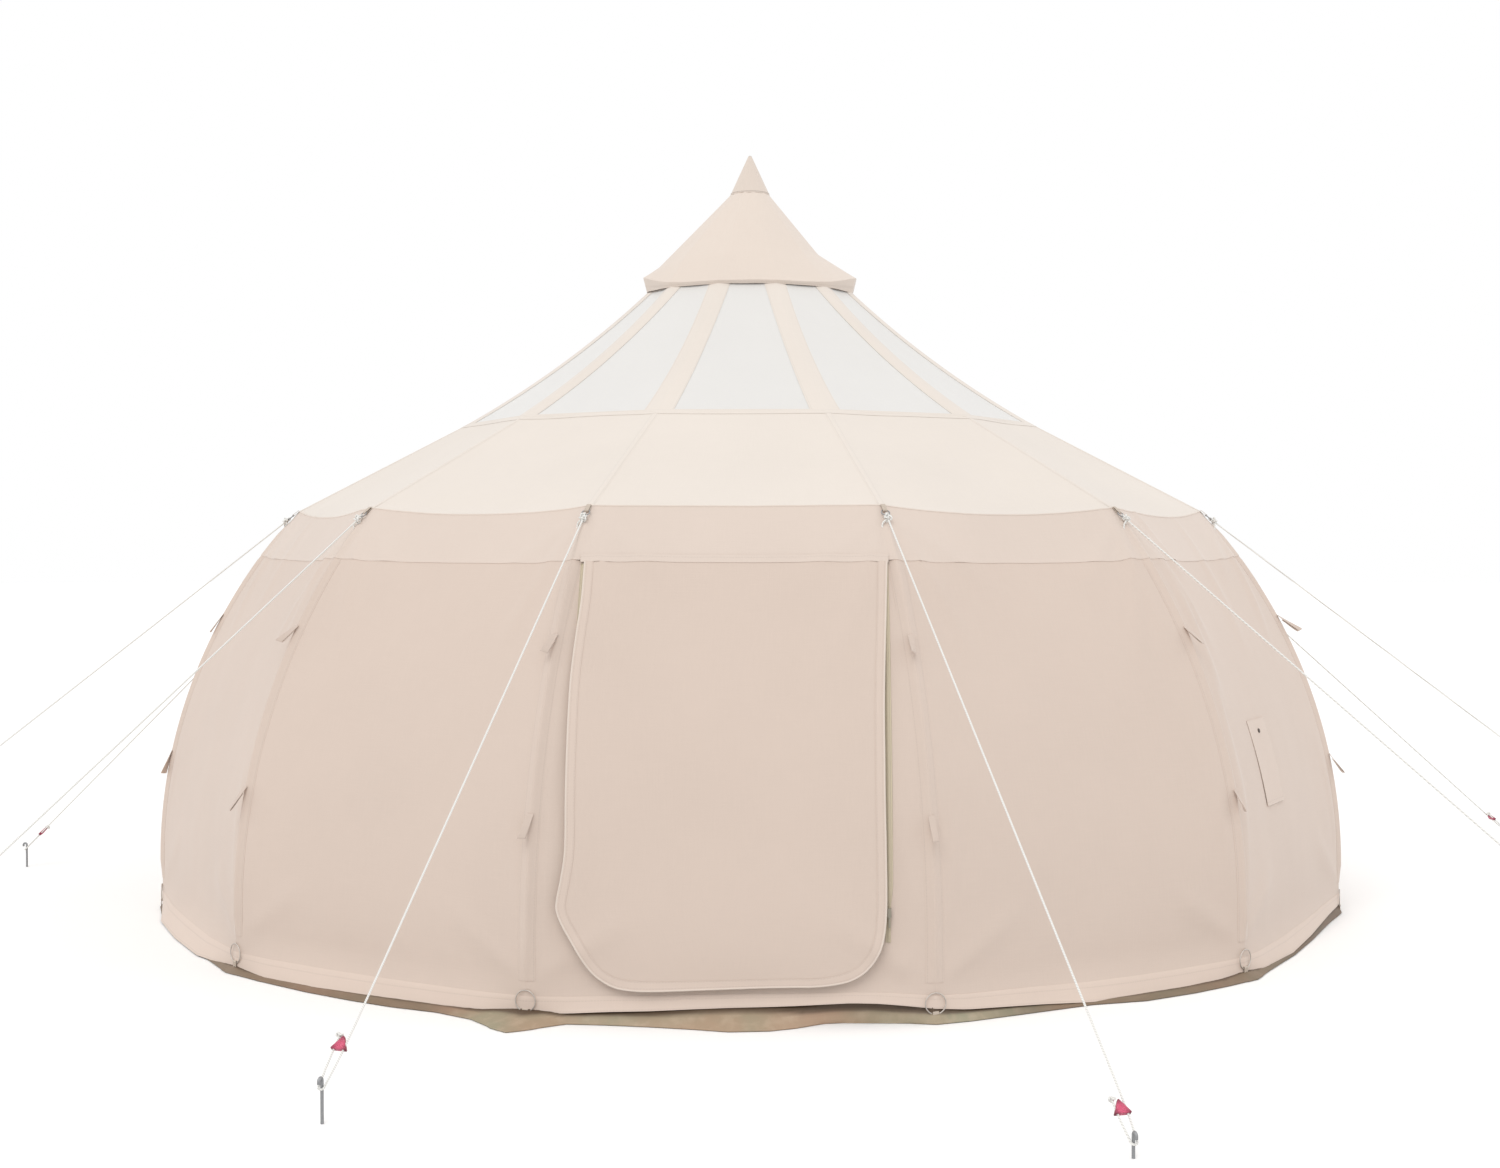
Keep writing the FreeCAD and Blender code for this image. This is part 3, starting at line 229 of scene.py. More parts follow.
def window_film(tint):
    """Plasticised PVC film, cast: hazy, pale and nearly opaque from dust and ripple, soft gloss."""
    material, tree = start("cast_pvc_film")
    place = add(tree, "TexCoord", out="Object")
    haze = add(tree, "TexNoise", {"Vector": place, "Scale": 3.0, "Detail": 3.0}, 0)
    dust = add(tree, "TexNoise", {"Vector": place, "Scale": 90.0, "Detail": 3.0}, 0)
    base = add(tree, "Mix", {0: haze, 6: shade(tint, 0.965), 7: shade(tint, 1.02)}, 2, data_type="RGBA")
    share = add(tree, "Math", {0: dust, 1: 0.5, 2: -0.1}, 0, operation="MULTIPLY_ADD")
    base = add(tree, "Mix", {0: share, 6: base, 7: shade(tint, 0.985)}, 2, data_type="RGBA")
    rough = add(tree, "Math", {0: dust, 1: 0.16, 2: 0.30}, 0, operation="MULTIPLY_ADD")
    # the film's ripples are 150 mm apart
    ripple = add(tree, "TexNoise", {"Vector": place, "Scale": 6.0, "Detail": 1.0}, 0)
    return dress(material, base, rough, (0.25, 0.006, ripple), IOR=1.53, Transmission_Weight=0.08)


def coated_sheet(tint):
    """PVC-coated polyester: olive-brown, leathery grain, low sheen, paler where it has rubbed."""
    material, tree = start("pvc_coated_polyester")
    place = add(tree, "TexCoord", out="Object")
    grain = add(tree, "TexNoise", {"Vector": place, "Scale": 160.0, "Detail": 3.0}, 0)
    blotch = add(tree, "TexNoise", {"Vector": place, "Scale": 3.2, "Detail": 4.0}, 0)
    scuff = add(tree, "TexNoise", {"Vector": place, "Scale": 22.0, "Detail": 5.0}, 0)
    warm = (tint[0] * 1.12, tint[1] * 0.93, tint[2] * 0.86, 1.0)
    cool = (tint[0] * 0.80, tint[1] * 0.95, tint[2] * 0.88, 1.0)
    share = add(tree, "Math", {0: blotch, 1: 2.6, 2: -0.8}, 0, operation="MULTIPLY_ADD")
    base = add(tree, "Mix", {0: share, 6: cool, 7: warm}, 2, data_type="RGBA")
    worn = add(tree, "Math", {0: scuff, 1: 1.6, 2: -0.75}, 0, operation="MULTIPLY_ADD")
    worn = add(tree, "Math", {0: worn, 1: 0.0}, 0, operation="MAXIMUM")
    base = add(tree, "Mix", {0: worn, 6: base, 7: shade(tint, 1.35)}, 2, data_type="RGBA")
    # painted shade: the sheet is darkened where it is folded in under the hem, where the hem's shadow
    # falls
    soil_and_shade = add(tree, "Attribute", out="Fac", attribute_name="soil_and_shade")
    base = add(tree, "Mix", {0: soil_and_shade, 6: base, 7: linear("#52402F")}, 2, data_type="RGBA")
    rough = add(tree, "Math", {0: grain, 1: 0.2, 2: 0.45}, 0, operation="MULTIPLY_ADD")
    return dress(material, base, rough, (0.4, 0.001, grain), IOR=1.52)


def ribbed(name, tint, spacing, depth, axis="X", roughness=0.75, uv=None):
    """Woven webbing, zip tape or braid: ribs at the real spacing, in metres, with painted shade in the
    grooves between them.
    """
    material, tree = start(name)
    place = add(tree, "UVMap", out=0, uv_map=uv) if uv else add(tree, "TexCoord", out="Object")
    ribs = add(tree, "TexWave", {"Vector": place, "Scale": math.pi / 10 / spacing, "Distortion": 0.6,
                                 "Detail": 1.0}, 1, bands_direction=axis)
    soil_and_shade = add(tree, "TexNoise", {"Vector": place, "Scale": 14.0, "Detail": 4.0}, 0)
    # painted shade: the colour darkens with the ribs' bump, deepest in the grooves
    base = add(tree, "Mix", {0: ribs, 6: shade(tint, 0.72), 7: shade(tint, 1.05)}, 2, data_type="RGBA")
    share = add(tree, "Math", {0: soil_and_shade, 1: 0.8, 2: -0.2}, 0, operation="MULTIPLY_ADD")
    base = add(tree, "Mix", {0: share, 6: base, 7: shade(tint, 0.88)}, 2, data_type="RGBA")
    rough = add(tree, "Math", {0: soil_and_shade, 1: 0.15, 2: roughness}, 0, operation="MULTIPLY_ADD")
    return dress(material, base, rough, (0.6, depth, ribs), IOR=1.5, Sheen_Weight=0.08)


def metal(name, tint, roughness, grain, spangle=0.12):
    """Zinc-coated steel and zinc castings: grey metal with cloudy spangle and fine scratches."""
    material, tree = start(name)
    place = add(tree, "TexCoord", out="Object")
    cloud = add(tree, "TexNoise", {"Vector": place, "Scale": grain, "Detail": 4.0}, 0)
    fine = add(tree, "TexNoise", {"Vector": place, "Scale": 1400.0, "Detail": 2.0}, 0)
    base = add(tree, "Mix", {0: cloud, 6: shade(tint, 1 - 2 * spangle), 7: shade(tint, 1 + spangle)},
               2, data_type="RGBA")
    rough = add(tree, "Math", {0: cloud, 1: 0.25, 2: roughness}, 0, operation="MULTIPLY_ADD")
    return dress(material, base, rough, (0.15, 0.0002, fine), Metallic=1.0)


def moulded(name, tint, roughness, ior=1.5, grain=900.0):
    """Moulded plastic or rubber: even colour with a faint cloud and a fine skin."""
    material, tree = start(name)
    place = add(tree, "TexCoord", out="Object")
    cloud = add(tree, "TexNoise", {"Vector": place, "Scale": 70.0, "Detail": 3.0}, 0)
    skin = add(tree, "TexNoise", {"Vector": place, "Scale": grain, "Detail": 2.0}, 0)
    base = add(tree, "Mix", {0: cloud, 6: shade(tint, 0.84), 7: shade(tint, 1.12)}, 2, data_type="RGBA")
    rough = add(tree, "Math", {0: skin, 1: 0.15, 2: roughness}, 0, operation="MULTIPLY_ADD")
    return dress(material, base, rough, (0.2, 0.0003, skin), IOR=ior)


def runner_nylon(tint):
    """Translucent moulded nylon: deep in the thick corners, paler where the wall is thin."""
    material, tree = start("translucent_moulded_nylon")
    local = add(tree, "UVMap", out=0, uv_map="cloth")
    reach = add(tree, "VectorMath", {0: local}, "Value", operation="LENGTH")
    corner = add(tree, "MapRange", {0: reach, 1: 0.011, 2: 0.026}, 0)
    cloud = add(tree, "TexNoise", {"Vector": local, "Scale": 120.0, "Detail": 2.0}, 0)
    thin = (min(1, tint[0] * 1.3), tint[1] * 1.7 + 0.1, tint[2] * 1.7 + 0.1, 1.0)
    thick = (tint[0] * 0.3, tint[1] * 0.2, tint[2] * 0.25, 1.0)
    share = add(tree, "Math", {0: cloud, 1: 0.5, 2: -0.1}, 0, operation="MULTIPLY_ADD")
    base = add(tree, "Mix", {0: share, 6: shade(tint, 1.0), 7: thin}, 2, data_type="RGBA")
    base = add(tree, "Mix", {0: corner, 6: base, 7: thick}, 2, data_type="RGBA")
    rough = add(tree, "Math", {0: cloud, 1: 0.1, 2: 0.22}, 0, operation="MULTIPLY_ADD")
    return dress(material, base, rough, IOR=1.53, Transmission_Weight=0.35)


def mesh_net(tint):
    """Woven nylon mosquito net, a black knotless mesh; its 1.5 mm holes are drawn 5 mm wide."""
    material, tree = start("woven_nylon_net")
    local = add(tree, "UVMap", out=0, uv_map="cloth")
    axes = add(tree, "SeparateXYZ", {0: local})
    lines = []
    for axis in axes.outputs[:2]:
        wave = add(tree, "Math", {0: axis, 1: math.tau / 0.005}, 0, operation="MULTIPLY")
        lines.append(add(tree, "Math", {0: wave}, 0, operation="SINE"))
    thread = add(tree, "Math", {0: lines[0], 1: lines[1]}, 0, operation="MAXIMUM")
    thread = add(tree, "Math", {0: thread, 1: 0.55}, 0, operation="GREATER_THAN")
    thread = add(tree, "Math", {0: thread, 1: 0.75, 2: 0.2}, 0, operation="MULTIPLY_ADD")
    tree.links.new(thread, tree.nodes["Principled BSDF"].inputs["Alpha"])
    cloud = add(tree, "TexNoise", {"Vector": local, "Scale": 8.0, "Detail": 3.0}, 0)
    base = add(tree, "Mix", {0: cloud, 6: shade(tint, 0.8), 7: shade(tint, 1.3)}, 2, data_type="RGBA")
    rough = add(tree, "Math", {0: cloud, 1: 0.1, 2: 0.6}, 0, operation="MULTIPLY_ADD")
    return dress(material, base, rough, IOR=1.53)


def turned_beech(tint):
    """Oiled beech, turned: pale brown with fine growth lines up the pole."""
    material, tree = start("oiled_beech")
    place = add(tree, "TexCoord", out="Object")
    grain = add(tree, "TexWave", {"Vector": place, "Scale": 40.0, "Distortion": 5.0, "Detail": 3.0}, 1,
                bands_direction="X")
    base = add(tree, "Mix", {0: grain, 6: shade(tint, 0.75), 7: shade(tint, 1.1)}, 2, data_type="RGBA")
    rough = add(tree, "Math", {0: grain, 1: 0.1, 2: 0.45}, 0, operation="MULTIPLY_ADD")
    return dress(material, base, rough, (0.2, 0.0003, grain), IOR=1.45)


def finish_node(material, *names):
    """Gives CAD nodes a finish in place of their plain one."""
    for name in names:
        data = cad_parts[name].data
        data.materials.clear()
        data.materials.append(material)


# ------------------------------------------------------------------ the shape of the cloth
def shape():
    """The cloth's settings."""
    return bpy.context.scene.bell_tent_shape


def colours():
    """The finishes' colours."""
    return bpy.context.scene.bell_tent_colours


def out(azimuth):
    """The level direction that points out of the tent at an azimuth; 0 is the front."""
    return Vector((math.sin(azimuth), -math.cos(azimuth), 0))


def along(azimuth):
    """The level direction along a panel at an azimuth, to the right as seen from outside."""
    return Vector((math.cos(azimuth), math.sin(azimuth), 0))


def smooth(value):
    """0 to 1 with soft ends."""
    value = max(0.0, min(1.0, value))
    return value * value * (3 - 2 * value)


def wall_flat(height):
    """Distance from the pole to the middle of a wall panel's outer face."""
    rise = max(0.0, height - UPRIGHT)
    return BASE_FLAT - WALL_ARC + math.sqrt(WALL_ARC ** 2 - rise ** 2)


def wall_lean(height):
    """How far the wall's face looks upwards at a height."""
    return math.asin(max(0.0, height - UPRIGHT) / WALL_ARC)


def wall_half(height):
    """Half the width of a wall panel at a height."""
    return wall_flat(height) * math.tan(HALF)


# Round the foot: azimuth in degrees, how high the hem's edge hangs, how far it stands out of the
# panel, and how far out the groundsheet's edge lies. Straight between entries.
FOOT = (
    (-180, 0.030, 0.030, 0.060), (-165, 0.036, 0, 0.050), (-150, 0.014, 0.045, 0.090),
    (-135, 0.030, 0, 0.060), (-120, 0.012, 0.050, 0.048), (-105, 0.018, 0, 0.012),
    (-90, 0.008, 0.060, 0.052), (-75, 0.012, 0, 0.010), (-68, 0.007, 0.065, 0.062),
    (-60, 0.006, 0.080, 0.078), (-52, 0.006, 0.070, 0.056), (-45, 0.010, 0, 0.040),
    (-41, 0.006, 0.045, 0.070), (-35, 0.006, 0.060, 0.098), (-30, 0.008, 0.055, 0.104),
    (-26, 0.010, 0.045, 0.098), (-22, 0.014, 0.035, 0.074), (-18.5, 0.020, 0.028, 0.084),
    (-16.5, 0.025, 0.012, 0.118), (-15, 0.028, 0, 0.150), (-13.8, 0.029, 0.010, 0.095),
    (-12, 0.031, 0.022, 0.045), (-9.3, 0.038, 0.028, 0.053), (-6, 0.041, 0.026, 0.072),
    (-3, 0.047, 0.024, 0.095), (0, 0.053, 0.025, 0.125), (3, 0.057, 0.026, 0.112),
    (5, 0.060, 0.024, 0.075), (7, 0.064, 0.020, 0.018), (9, 0.068, 0.017, 0.0),
    (11, 0.066, 0.014, 0.0), (13, 0.058, 0.008, 0.005), (15, 0.048, 0, 0.018),
    (17.5, 0.036, 0.015, 0.036), (24, 0.022, 0.030, 0.049), (28.5, 0.010, 0.045, 0.056),
    (33, 0.006, 0.050, 0.100), (38, 0.007, 0.046, 0.096), (42, 0.010, 0.030, 0.076),
    (45, 0.014, 0, 0.052), (48, 0.010, 0.030, 0.050), (55, 0.008, 0.045, 0.058),
    (62, 0.018, 0.035, 0.045), (70, 0.036, 0.015, 0.020), (75, 0.038, 0, 0.012),
    (90, 0.016, 0.035, 0.036), (105, 0.030, 0, 0.014), (120, 0.012, 0.045, 0.050),
    (135, 0.030, 0, 0.060), (150, 0.014, 0.040, 0.090), (165, 0.034, 0, 0.050),
    (180, 0.030, 0.030, 0.060),
)
FOOT_TOP = 0.135


def foot(panel, across):
    """The foot's entries at a place: the hem's height, how far it stands out, the sheet's reach."""
    azimuth = math.degrees(panel * STEP + math.atan(across / BASE_FLAT))
    azimuth = (azimuth + 180) % 360 - 180
    for first, last in zip(FOOT, FOOT[1:]):
        if azimuth <= last[0]:
            share = (azimuth - first[0]) / (last[0] - first[0])
            return [a + (b - a) * share for a, b in zip(first[1:], last[1:])]
    return FOOT[-1][1:]


def corner_folds(panel):
    """The soft folds that run out of a panel's four corners, pulled a little more or less."""
    tone = 0.9 + 0.6 * abs(math.sin(3.7 * panel + 0.4))
    return [
        ((side * first[0], first[1]), (side * last[0], last[1]), width, lift * tone)
        for side in (-1, 1) for first, last, width, lift in (
            ((0.50, 1.61), (0.34, 1.10), 0.022, 0.0050), ((0.505, 1.61), (0.16, 1.34), 0.024, 0.0034),
            ((0.62, 0.14), (0.30, 0.34), 0.032, 0.0046), ((0.60, 0.30), (0.53, 0.76), 0.022, 0.0034))
    ]


# Each panel's folds: start and end (distance from the panel's middle and height), half width, and
# height of the fold.
FOLDS = {panel: corner_folds(panel) for panel in range(PANELS)}
# the cord port's panel and its neighbours take more of the pull, in long upright folds
FOLDS[PORT_PANEL] += [
    ((-0.44, 1.62), (-0.36, 1.20), 0.020, 0.0080), ((-0.33, 1.63), (-0.30, 1.36), 0.024, 0.0060),
    ((-0.45, 1.36), (-0.50, 0.92), 0.034, 0.0130), ((-0.52, 1.00), (-0.585, 0.50), 0.026, 0.0090),
    ((0.10, 1.60), (0.02, 1.10), 0.030, 0.0050),
]
FOLDS[1] += [((0.44, 1.62), (0.50, 1.12), 0.026, 0.0060), ((0.57, 0.90), (0.60, 0.30), 0.030, 0.0050)]
FOLDS[PANELS - 2] += [
    ((0.40, 1.62), (0.50, 1.10), 0.026, 0.0055), ((-0.2, 1.60), (-0.1, 1.2), 0.030, 0.0040)]
FOLDS[0] += [
    ((-0.53, 1.20), (-0.59, 0.62), 0.020, 0.0050), ((0.60, 0.30), (0.53, 0.14), 0.018, 0.0060),
    ((0.50, 0.22), (0.56, 0.13), 0.012, 0.0040)]


def folds(panel, across, height):
    """Height of the soft folds at a place on a wall panel."""
    total = 0.0
    for first, last, width, lift in FOLDS[panel]:
        run = (last[0] - first[0], last[1] - first[1])
        length = math.hypot(*run)
        step = (across - first[0], height - first[1])
        share = (step[0] * run[0] + step[1] * run[1]) / length ** 2
        if not -0.1 < share < 1.1:
            continue
        aside = abs(step[0] * run[1] - step[1] * run[0]) / length
        spread = width * (0.7 + 0.9 * share)
        if aside > 3 * spread:
            continue
        ends = smooth((share + 0.1) / 0.25) * smooth((1.1 - share) / 0.5)
        total += 1.4 * lift * ends * math.exp(-(aside / spread) ** 2)
    return total


# How far under the eave the sleeves' ridges end, their half width, and how far out of the corner
# the dent beside a ridge lies.
RIDGE_END, RIDGE_HALF, RIDGE_DENT = 0.03, 0.024, 0.030


def wall_relief(panel, across, height):
    """How far the canvas stands off its plain bowed panel, along its normal."""
    form = shape()
    half = wall_half(height)
    gap = half - abs(across)
    edge = min(1.0, abs(across) / half)
    inner = 1 - edge ** 8
    bowl = (1 - edge ** 2) * math.sin(math.pi * max(0.0, min(1.0, (height - HEM) / (EAVE - HEM))))
    relief = -form.hollow * bowl
    seed = Vector((panel * 5.3 + across * 2.4, height * 1.5, panel * 2.1))
    relief += form.ripple * inner * noise.noise(seed) * 1.6
    seed = Vector((panel * 3.1 + across * 9.0, height * 4.0, 4.0 + panel))
    relief += 0.0012 * inner * noise.noise(seed)
    relief += inner * folds(panel, across, height)
    if FOOT_TOP < height < EAVE - RIDGE_END:
        ends = smooth((EAVE - RIDGE_END - height) / 0.08) * smooth((height - FOOT_TOP) / 0.06)
        ridge = max(0.0, 1 - (gap / RIDGE_HALF) ** 2) ** 2
        dent = 0.0012 * math.exp(-((gap - RIDGE_DENT) / 0.005) ** 2)
        relief += (form.sleeve * ridge - dent) * ends
    if height < FOOT_TOP:
        fade = smooth((FOOT_TOP - height) / (FOOT_TOP - HEM))
        relief *= 1 - fade
        kick = (FOOT_TOP - height) / (FOOT_TOP - HEM)
        relief += foot(panel, across)[1] * form.flare * max(0.0, kick) ** 1.7
    return relief


def wall_point(panel, across, height, lift=0.0):
    """A point on a wall panel, 'across' metres from its middle, lifted off the canvas."""
    azimuth, half, lean = panel * STEP, wall_half(height), wall_lean(height)
    # within 60 mm of a corner the lift turns to the corner's own direction, so that panels meet
    near = max(0.0, 1 - (half - abs(across)) / 0.06)
    face = out(azimuth + math.copysign(HALF, across) * min(1.0, near))
    push = lift + wall_relief(panel, across, height)
    if height < FOOT_TOP:
        # the cloth below here is stretched down to the hem's own line
        stretch = (FOOT_TOP - foot(panel, across)[0]) / (FOOT_TOP - HEM)
        height = FOOT_TOP - (FOOT_TOP - height) * stretch
    return (out(azimuth) * wall_flat(height) + along(azimuth) * across
            + face * push * math.cos(lean) + UP * (height + push * math.sin(lean)))


def corner_point(panel, aside, height, lift=0.0):
    """A point beside the corner at a panel's far edge; 'aside' is positive on the next panel."""
    half = wall_half(height)
    if aside <= 0:
        return wall_point(panel, half + aside, height, lift)
    return wall_point((panel + 1) % PANELS, aside - half, height, lift)


def eave_dip(panel, edge):
    """How far the eave hangs below its corners, at a share of the half panel.

    Over the door it is taut.
    """
    return shape().eave_sag * (1 - edge ** 2) * (0.1 if panel == 0 else 1)


def seam_height(edge):
    """The height of the seam between wall and band."""
    return SEAM + shape().seam_arch * (math.exp(-((1 - abs(edge)) / 0.25) ** 2) - 0.35)


def slope_point(panel, edge, share, low, high, lift=0.0, hollow=0.0, dip=0.0, sag=0.0):
    """A point on a sloping panel between two level rings, each a flat distance and a height.

    'edge' runs from -1 to 1 between the panel's corners and 'share' from 0 at the low ring to 1.
    """
    azimuth = panel * STEP
    run, rise = low[0] - high[0], high[1] - low[1]
    slope = math.atan2(rise, run)
    flat = low[0] - run * share
    height = low[1] + rise * share
    bowl = (1 - edge ** 2) * math.sin(math.pi * max(0.0, min(1.0, share)))
    push = lift - hollow * bowl - sag * 4 * share * (1 - share)
    face = out(azimuth + math.copysign(HALF, edge) * smooth((abs(edge) - 0.8) / 0.2))
    drop = dip * (1 - edge ** 2) * (1 - share) ** 2
    return (out(azimuth) * flat + along(azimuth) * edge * flat * math.tan(HALF)
            + face * push * math.sin(slope) + UP * (height + push * math.cos(slope) - drop))


ROOF_RINGS = ((EAVE_FLAT, EAVE), (BREAK_FLAT, BREAK))
UPPER_RINGS = ((BREAK_FLAT, BREAK), (CROWN_FLAT, CROWN))
VENT_RINGS = ((CROWN_FLAT, CROWN), (VENT_FLAT, VENT_TOP))
# the share of the lower roof over which it turns from the band's top edge to its own slope
EAVE_JOIN = 0.06


def roof_point(panel, edge, share, lift=0.0):
    """A point on the lower roof: slow waves, a ridge along each seam, and a pull beside it."""
    wave = 0.005 * (1 - edge ** 6) * noise.noise(Vector((panel * 4.1 + edge, share * 2.2, 9.0)))
    ridge = 0.0015 * math.exp(-((1 - abs(edge)) / 0.03) ** 2)
    pull = 0.003 * math.exp(-((1 - abs(edge)) / 0.10 - 1.4) ** 2) * (1 - share) ** 2
    point = slope_point(panel, edge, share, *ROOF_RINGS, lift=lift + wave + ridge - pull,
                        hollow=shape().roof_hollow, dip=eave_dip(panel, 0))
    if share >= EAVE_JOIN:
        return point
    # the roof's edge is sewn to the top of the band
    height = EAVE - eave_dip(panel, edge)
    seam = wall_point(panel, edge * wall_half(height), height, 0.0004)
    seam += (out(panel * STEP) * 0.5 + UP * 0.87) * (lift + 0.0004)
    return seam.lerp(point, smooth(share / EAVE_JOIN))


def upper_point(panel, edge, share, lift=0.0):
    """The hollow that the ribs and windows share between the roof's break and the crown."""
    return slope_point(panel, edge, share, *UPPER_RINGS, lift=lift, sag=WINDOW_SAG)


def cap_point(panel, edge, share, lift=0.0):
    """The rain cap: a cone that turns out to a rim, lifted at the sides and level in front."""
    azimuth = panel * STEP + edge * HALF
    right = 0.5 + 0.5 * math.sin(azimuth)
    side = math.sin(azimuth) ** 6
    # share of the way up, radius and height, straight between
    stops = (
        (0.0, 0.462 - 0.002 * side, CAP_LOW + 0.0035 + side * (0.013 - 0.009 * right)),
        (0.06, 0.470 + 0.008 * side, CAP_LOW + 0.0175 + side * (0.068 - 0.006 * right)),
        (0.27 + 0.09 * right, 0.409 - 0.101 * right, CAP_LOW + 0.120 + 0.059 * right),
        (1.0, CAP_TOP_RADIUS, CAP_TOP),
    )
    share = max(-0.01, share)
    for first, last in zip(stops, stops[1:]):
        if share <= last[0] or last is stops[-1]:
            part = (share - first[0]) / (last[0] - first[0])
            radius, height = (a + (b - a) * part for a, b in zip(first[1:], last[1:]))
            break
    facet = 1 - (1 - math.cos(HALF)) * 0.55 * (1 - edge ** 2)
    push = noise.noise(Vector((panel * 2.9 + edge * 1.2, share * 2.5, 3.0))) * (1 - edge ** 4)
    push = lift + 0.0025 * push
    # the lift is square to the cone, which leans in steeply
    level, upward = 0.76, math.sqrt(1 - 0.76 ** 2)
    return out(azimuth) * (radius * facet + push * level) + UP * (height + push * upward)


def round_tent(shares):
    """Columns right round the tent: in each panel, every share of its half width but the last."""
    return [(panel, share) for panel in range(PANELS) for share in shares[:-1]]


def steps(stops, spacing):
    """Numbers from the first stop to the last, through every stop, no further apart than spacing."""
    values = [stops[0]]
    for first, last in zip(stops, stops[1:]):
        count = max(1, math.ceil(abs(last - first) / spacing - 1e-6))
        values += [first + (last - first) * i / count for i in range(1, count + 1)]
    return values


# distances from a corner at which the walls have a column, so that the sleeve's ridge is round
CORNER_STOPS = (0, 0.005, 0.010, 0.015, 0.020, 0.025, 0.030, 0.036, 0.045, 0.065)


# ------------------------------------------------------------------ making meshes
def cloth(name, columns, rows, place, thickness, finish, keep=None, ring=False, inwards=1):
    """A sheet of cloth: a grid of points on its outer face, thickened and closed.

    'place' turns a column and a row into a point, and 'keep' says which cells are cloth. The UV map
    is in metres of cloth, so that weave and stitches keep their size.
    """
    points = [[place(column, row) for column in columns] for row in rows]
    middle = points[len(rows) // 2]
    widths = [0.0]
    for before, after in zip(middle, middle[1:] + middle[:1] if ring else middle[1:]):
        widths.append(widths[-1] + (after - before).length)
    heights = [0.0]
    for before, after in zip(points, points[1:]):
        heights.append(heights[-1] + (after[0] - before[0]).length)
    count = len(columns)
    verts = [point for line in points for point in line]
    faces, uvs = [], []
    for j in range(len(rows) - 1):
        for i in range(count if ring else count - 1):
            if keep and not keep(i, j):
                continue
            k = (i + 1) % count
            faces.append((j * count + i, j * count + k, (j + 1) * count + k, (j + 1) * count + i))
            uvs += [(widths[i], heights[j]), (widths[i + 1], heights[j]),
                    (widths[i + 1], heights[j + 1]), (widths[i], heights[j + 1])]
    return solid_sheet(name, verts, faces, uvs, thickness, finish, inwards)


def solid_sheet(name, verts, faces, uvs, thickness, finish, inwards=1):
    """Builds a mesh object, drops loose points and applies its thickness."""
    used = sorted({index for face in faces for index in face})
    number = {old: new for new, old in enumerate(used)}
    mesh = bpy.data.meshes.new(name)
    mesh.from_pydata([verts[i] for i in used], [], [tuple(number[i] for i in face) for face in faces])
    layer = mesh.uv_layers.new(name="cloth")
    layer.data.foreach_set("uv", [value for pair in uvs for value in pair])
    piece = bpy.data.objects.new(name, mesh)
    bpy.context.collection.objects.link(piece)
    mesh.materials.append(finish)
    if thickness:
        modify(piece, "SOLIDIFY", thickness=thickness, offset=-inwards)
    soften(piece, 50)
    return piece


def pick(*pieces):
    """Selects only these pieces and makes the first one active."""
    if bpy.context.object and bpy.context.object.mode != "OBJECT":
        bpy.ops.object.mode_set(mode="OBJECT")
    bpy.ops.object.select_all(action="DESELECT")
    for piece in pieces:
        piece.select_set(True)
    bpy.context.view_layer.objects.active = pieces[0]


def modify(piece, kind, **settings):
    """Adds a modifier and applies it."""
    pick(piece)
    modifier = piece.modifiers.new(kind.lower(), kind)
    for name, setting in settings.items():
        setattr(modifier, name, setting)
    bpy.ops.object.modifier_apply(modifier=modifier.name)


def soften(piece, degrees):
    """Shades a piece smooth, but for edges sharper than an angle."""
    pick(piece)
    bpy.ops.object.shade_smooth_by_angle(angle=math.radians(degrees))


def joined(name, pieces):
    """Several pieces made one."""
    pick(*pieces)
    if len(pieces) > 1:
        bpy.ops.object.join()
    pieces[0].name = name
    return pieces[0]


def settle(piece, body, slot, *nodes):
    """Gives a finished piece its body and hides the CAD nodes that it stands for; 'slot' is not used."""
    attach(piece, body)
    if nodes:
        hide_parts(*nodes)
    return piece


def round_curve(name, points, radius, finish, closed=False, resolution=3, between=6):
    """A round cord through points, as a curve with 'between' steps from each point to the next."""
    curve = bpy.data.curves.new(name, "CURVE")
    curve.dimensions = "3D"
    curve.bevel_depth = radius
    curve.bevel_resolution = resolution
    curve.resolution_u = between
    curve.use_fill_caps = True
    spline = curve.splines.new("NURBS")
    spline.points.add(len(points) - 1)
    for knot, point in zip(spline.points, points):
        knot.co = (*point, 1)
    spline.order_u = 3
    spline.use_endpoint_u = not closed
    spline.use_cyclic_u = closed
    curve.materials.append(finish)
    cord = bpy.data.objects.new(name, curve)
    bpy.context.collection.objects.link(cord)
    return cord


def tube(name, points, radius, finish, closed=False, resolution=3):
    """A round cord of cloth or rope through points, as a mesh."""
    pick(round_curve(name, points, radius, finish, closed, resolution))
    bpy.ops.object.convert(target="MESH")
    made = bpy.context.object
    if not made.data.uv_layers:
        made.data.uv_layers.new(name="cloth")
    made.data.uv_layers[0].name = "cloth"
    soften(made, 60)
    return made


def edit(piece, kind, chosen):
    """Opens a piece in edit mode with only its chosen faces (kind FACE) or edges (EDGE) selected."""
    pick(piece)
    bpy.ops.object.mode_set(mode="EDIT")
    bpy.ops.mesh.select_mode(type=kind)
    bpy.ops.mesh.select_all(action="DESELECT")
    bpy.ops.object.mode_set(mode="OBJECT")
    for part in piece.data.polygons if kind == "FACE" else piece.data.edges:
        part.select = chosen(part)
    bpy.ops.object.mode_set(mode="EDIT")


def refinish(piece, finish, degrees):
    """Gives a modelled piece its one finish and smooths it up to an angle."""
    piece.data.materials.clear()
    piece.data.materials.append(finish)
    soften(piece, degrees)


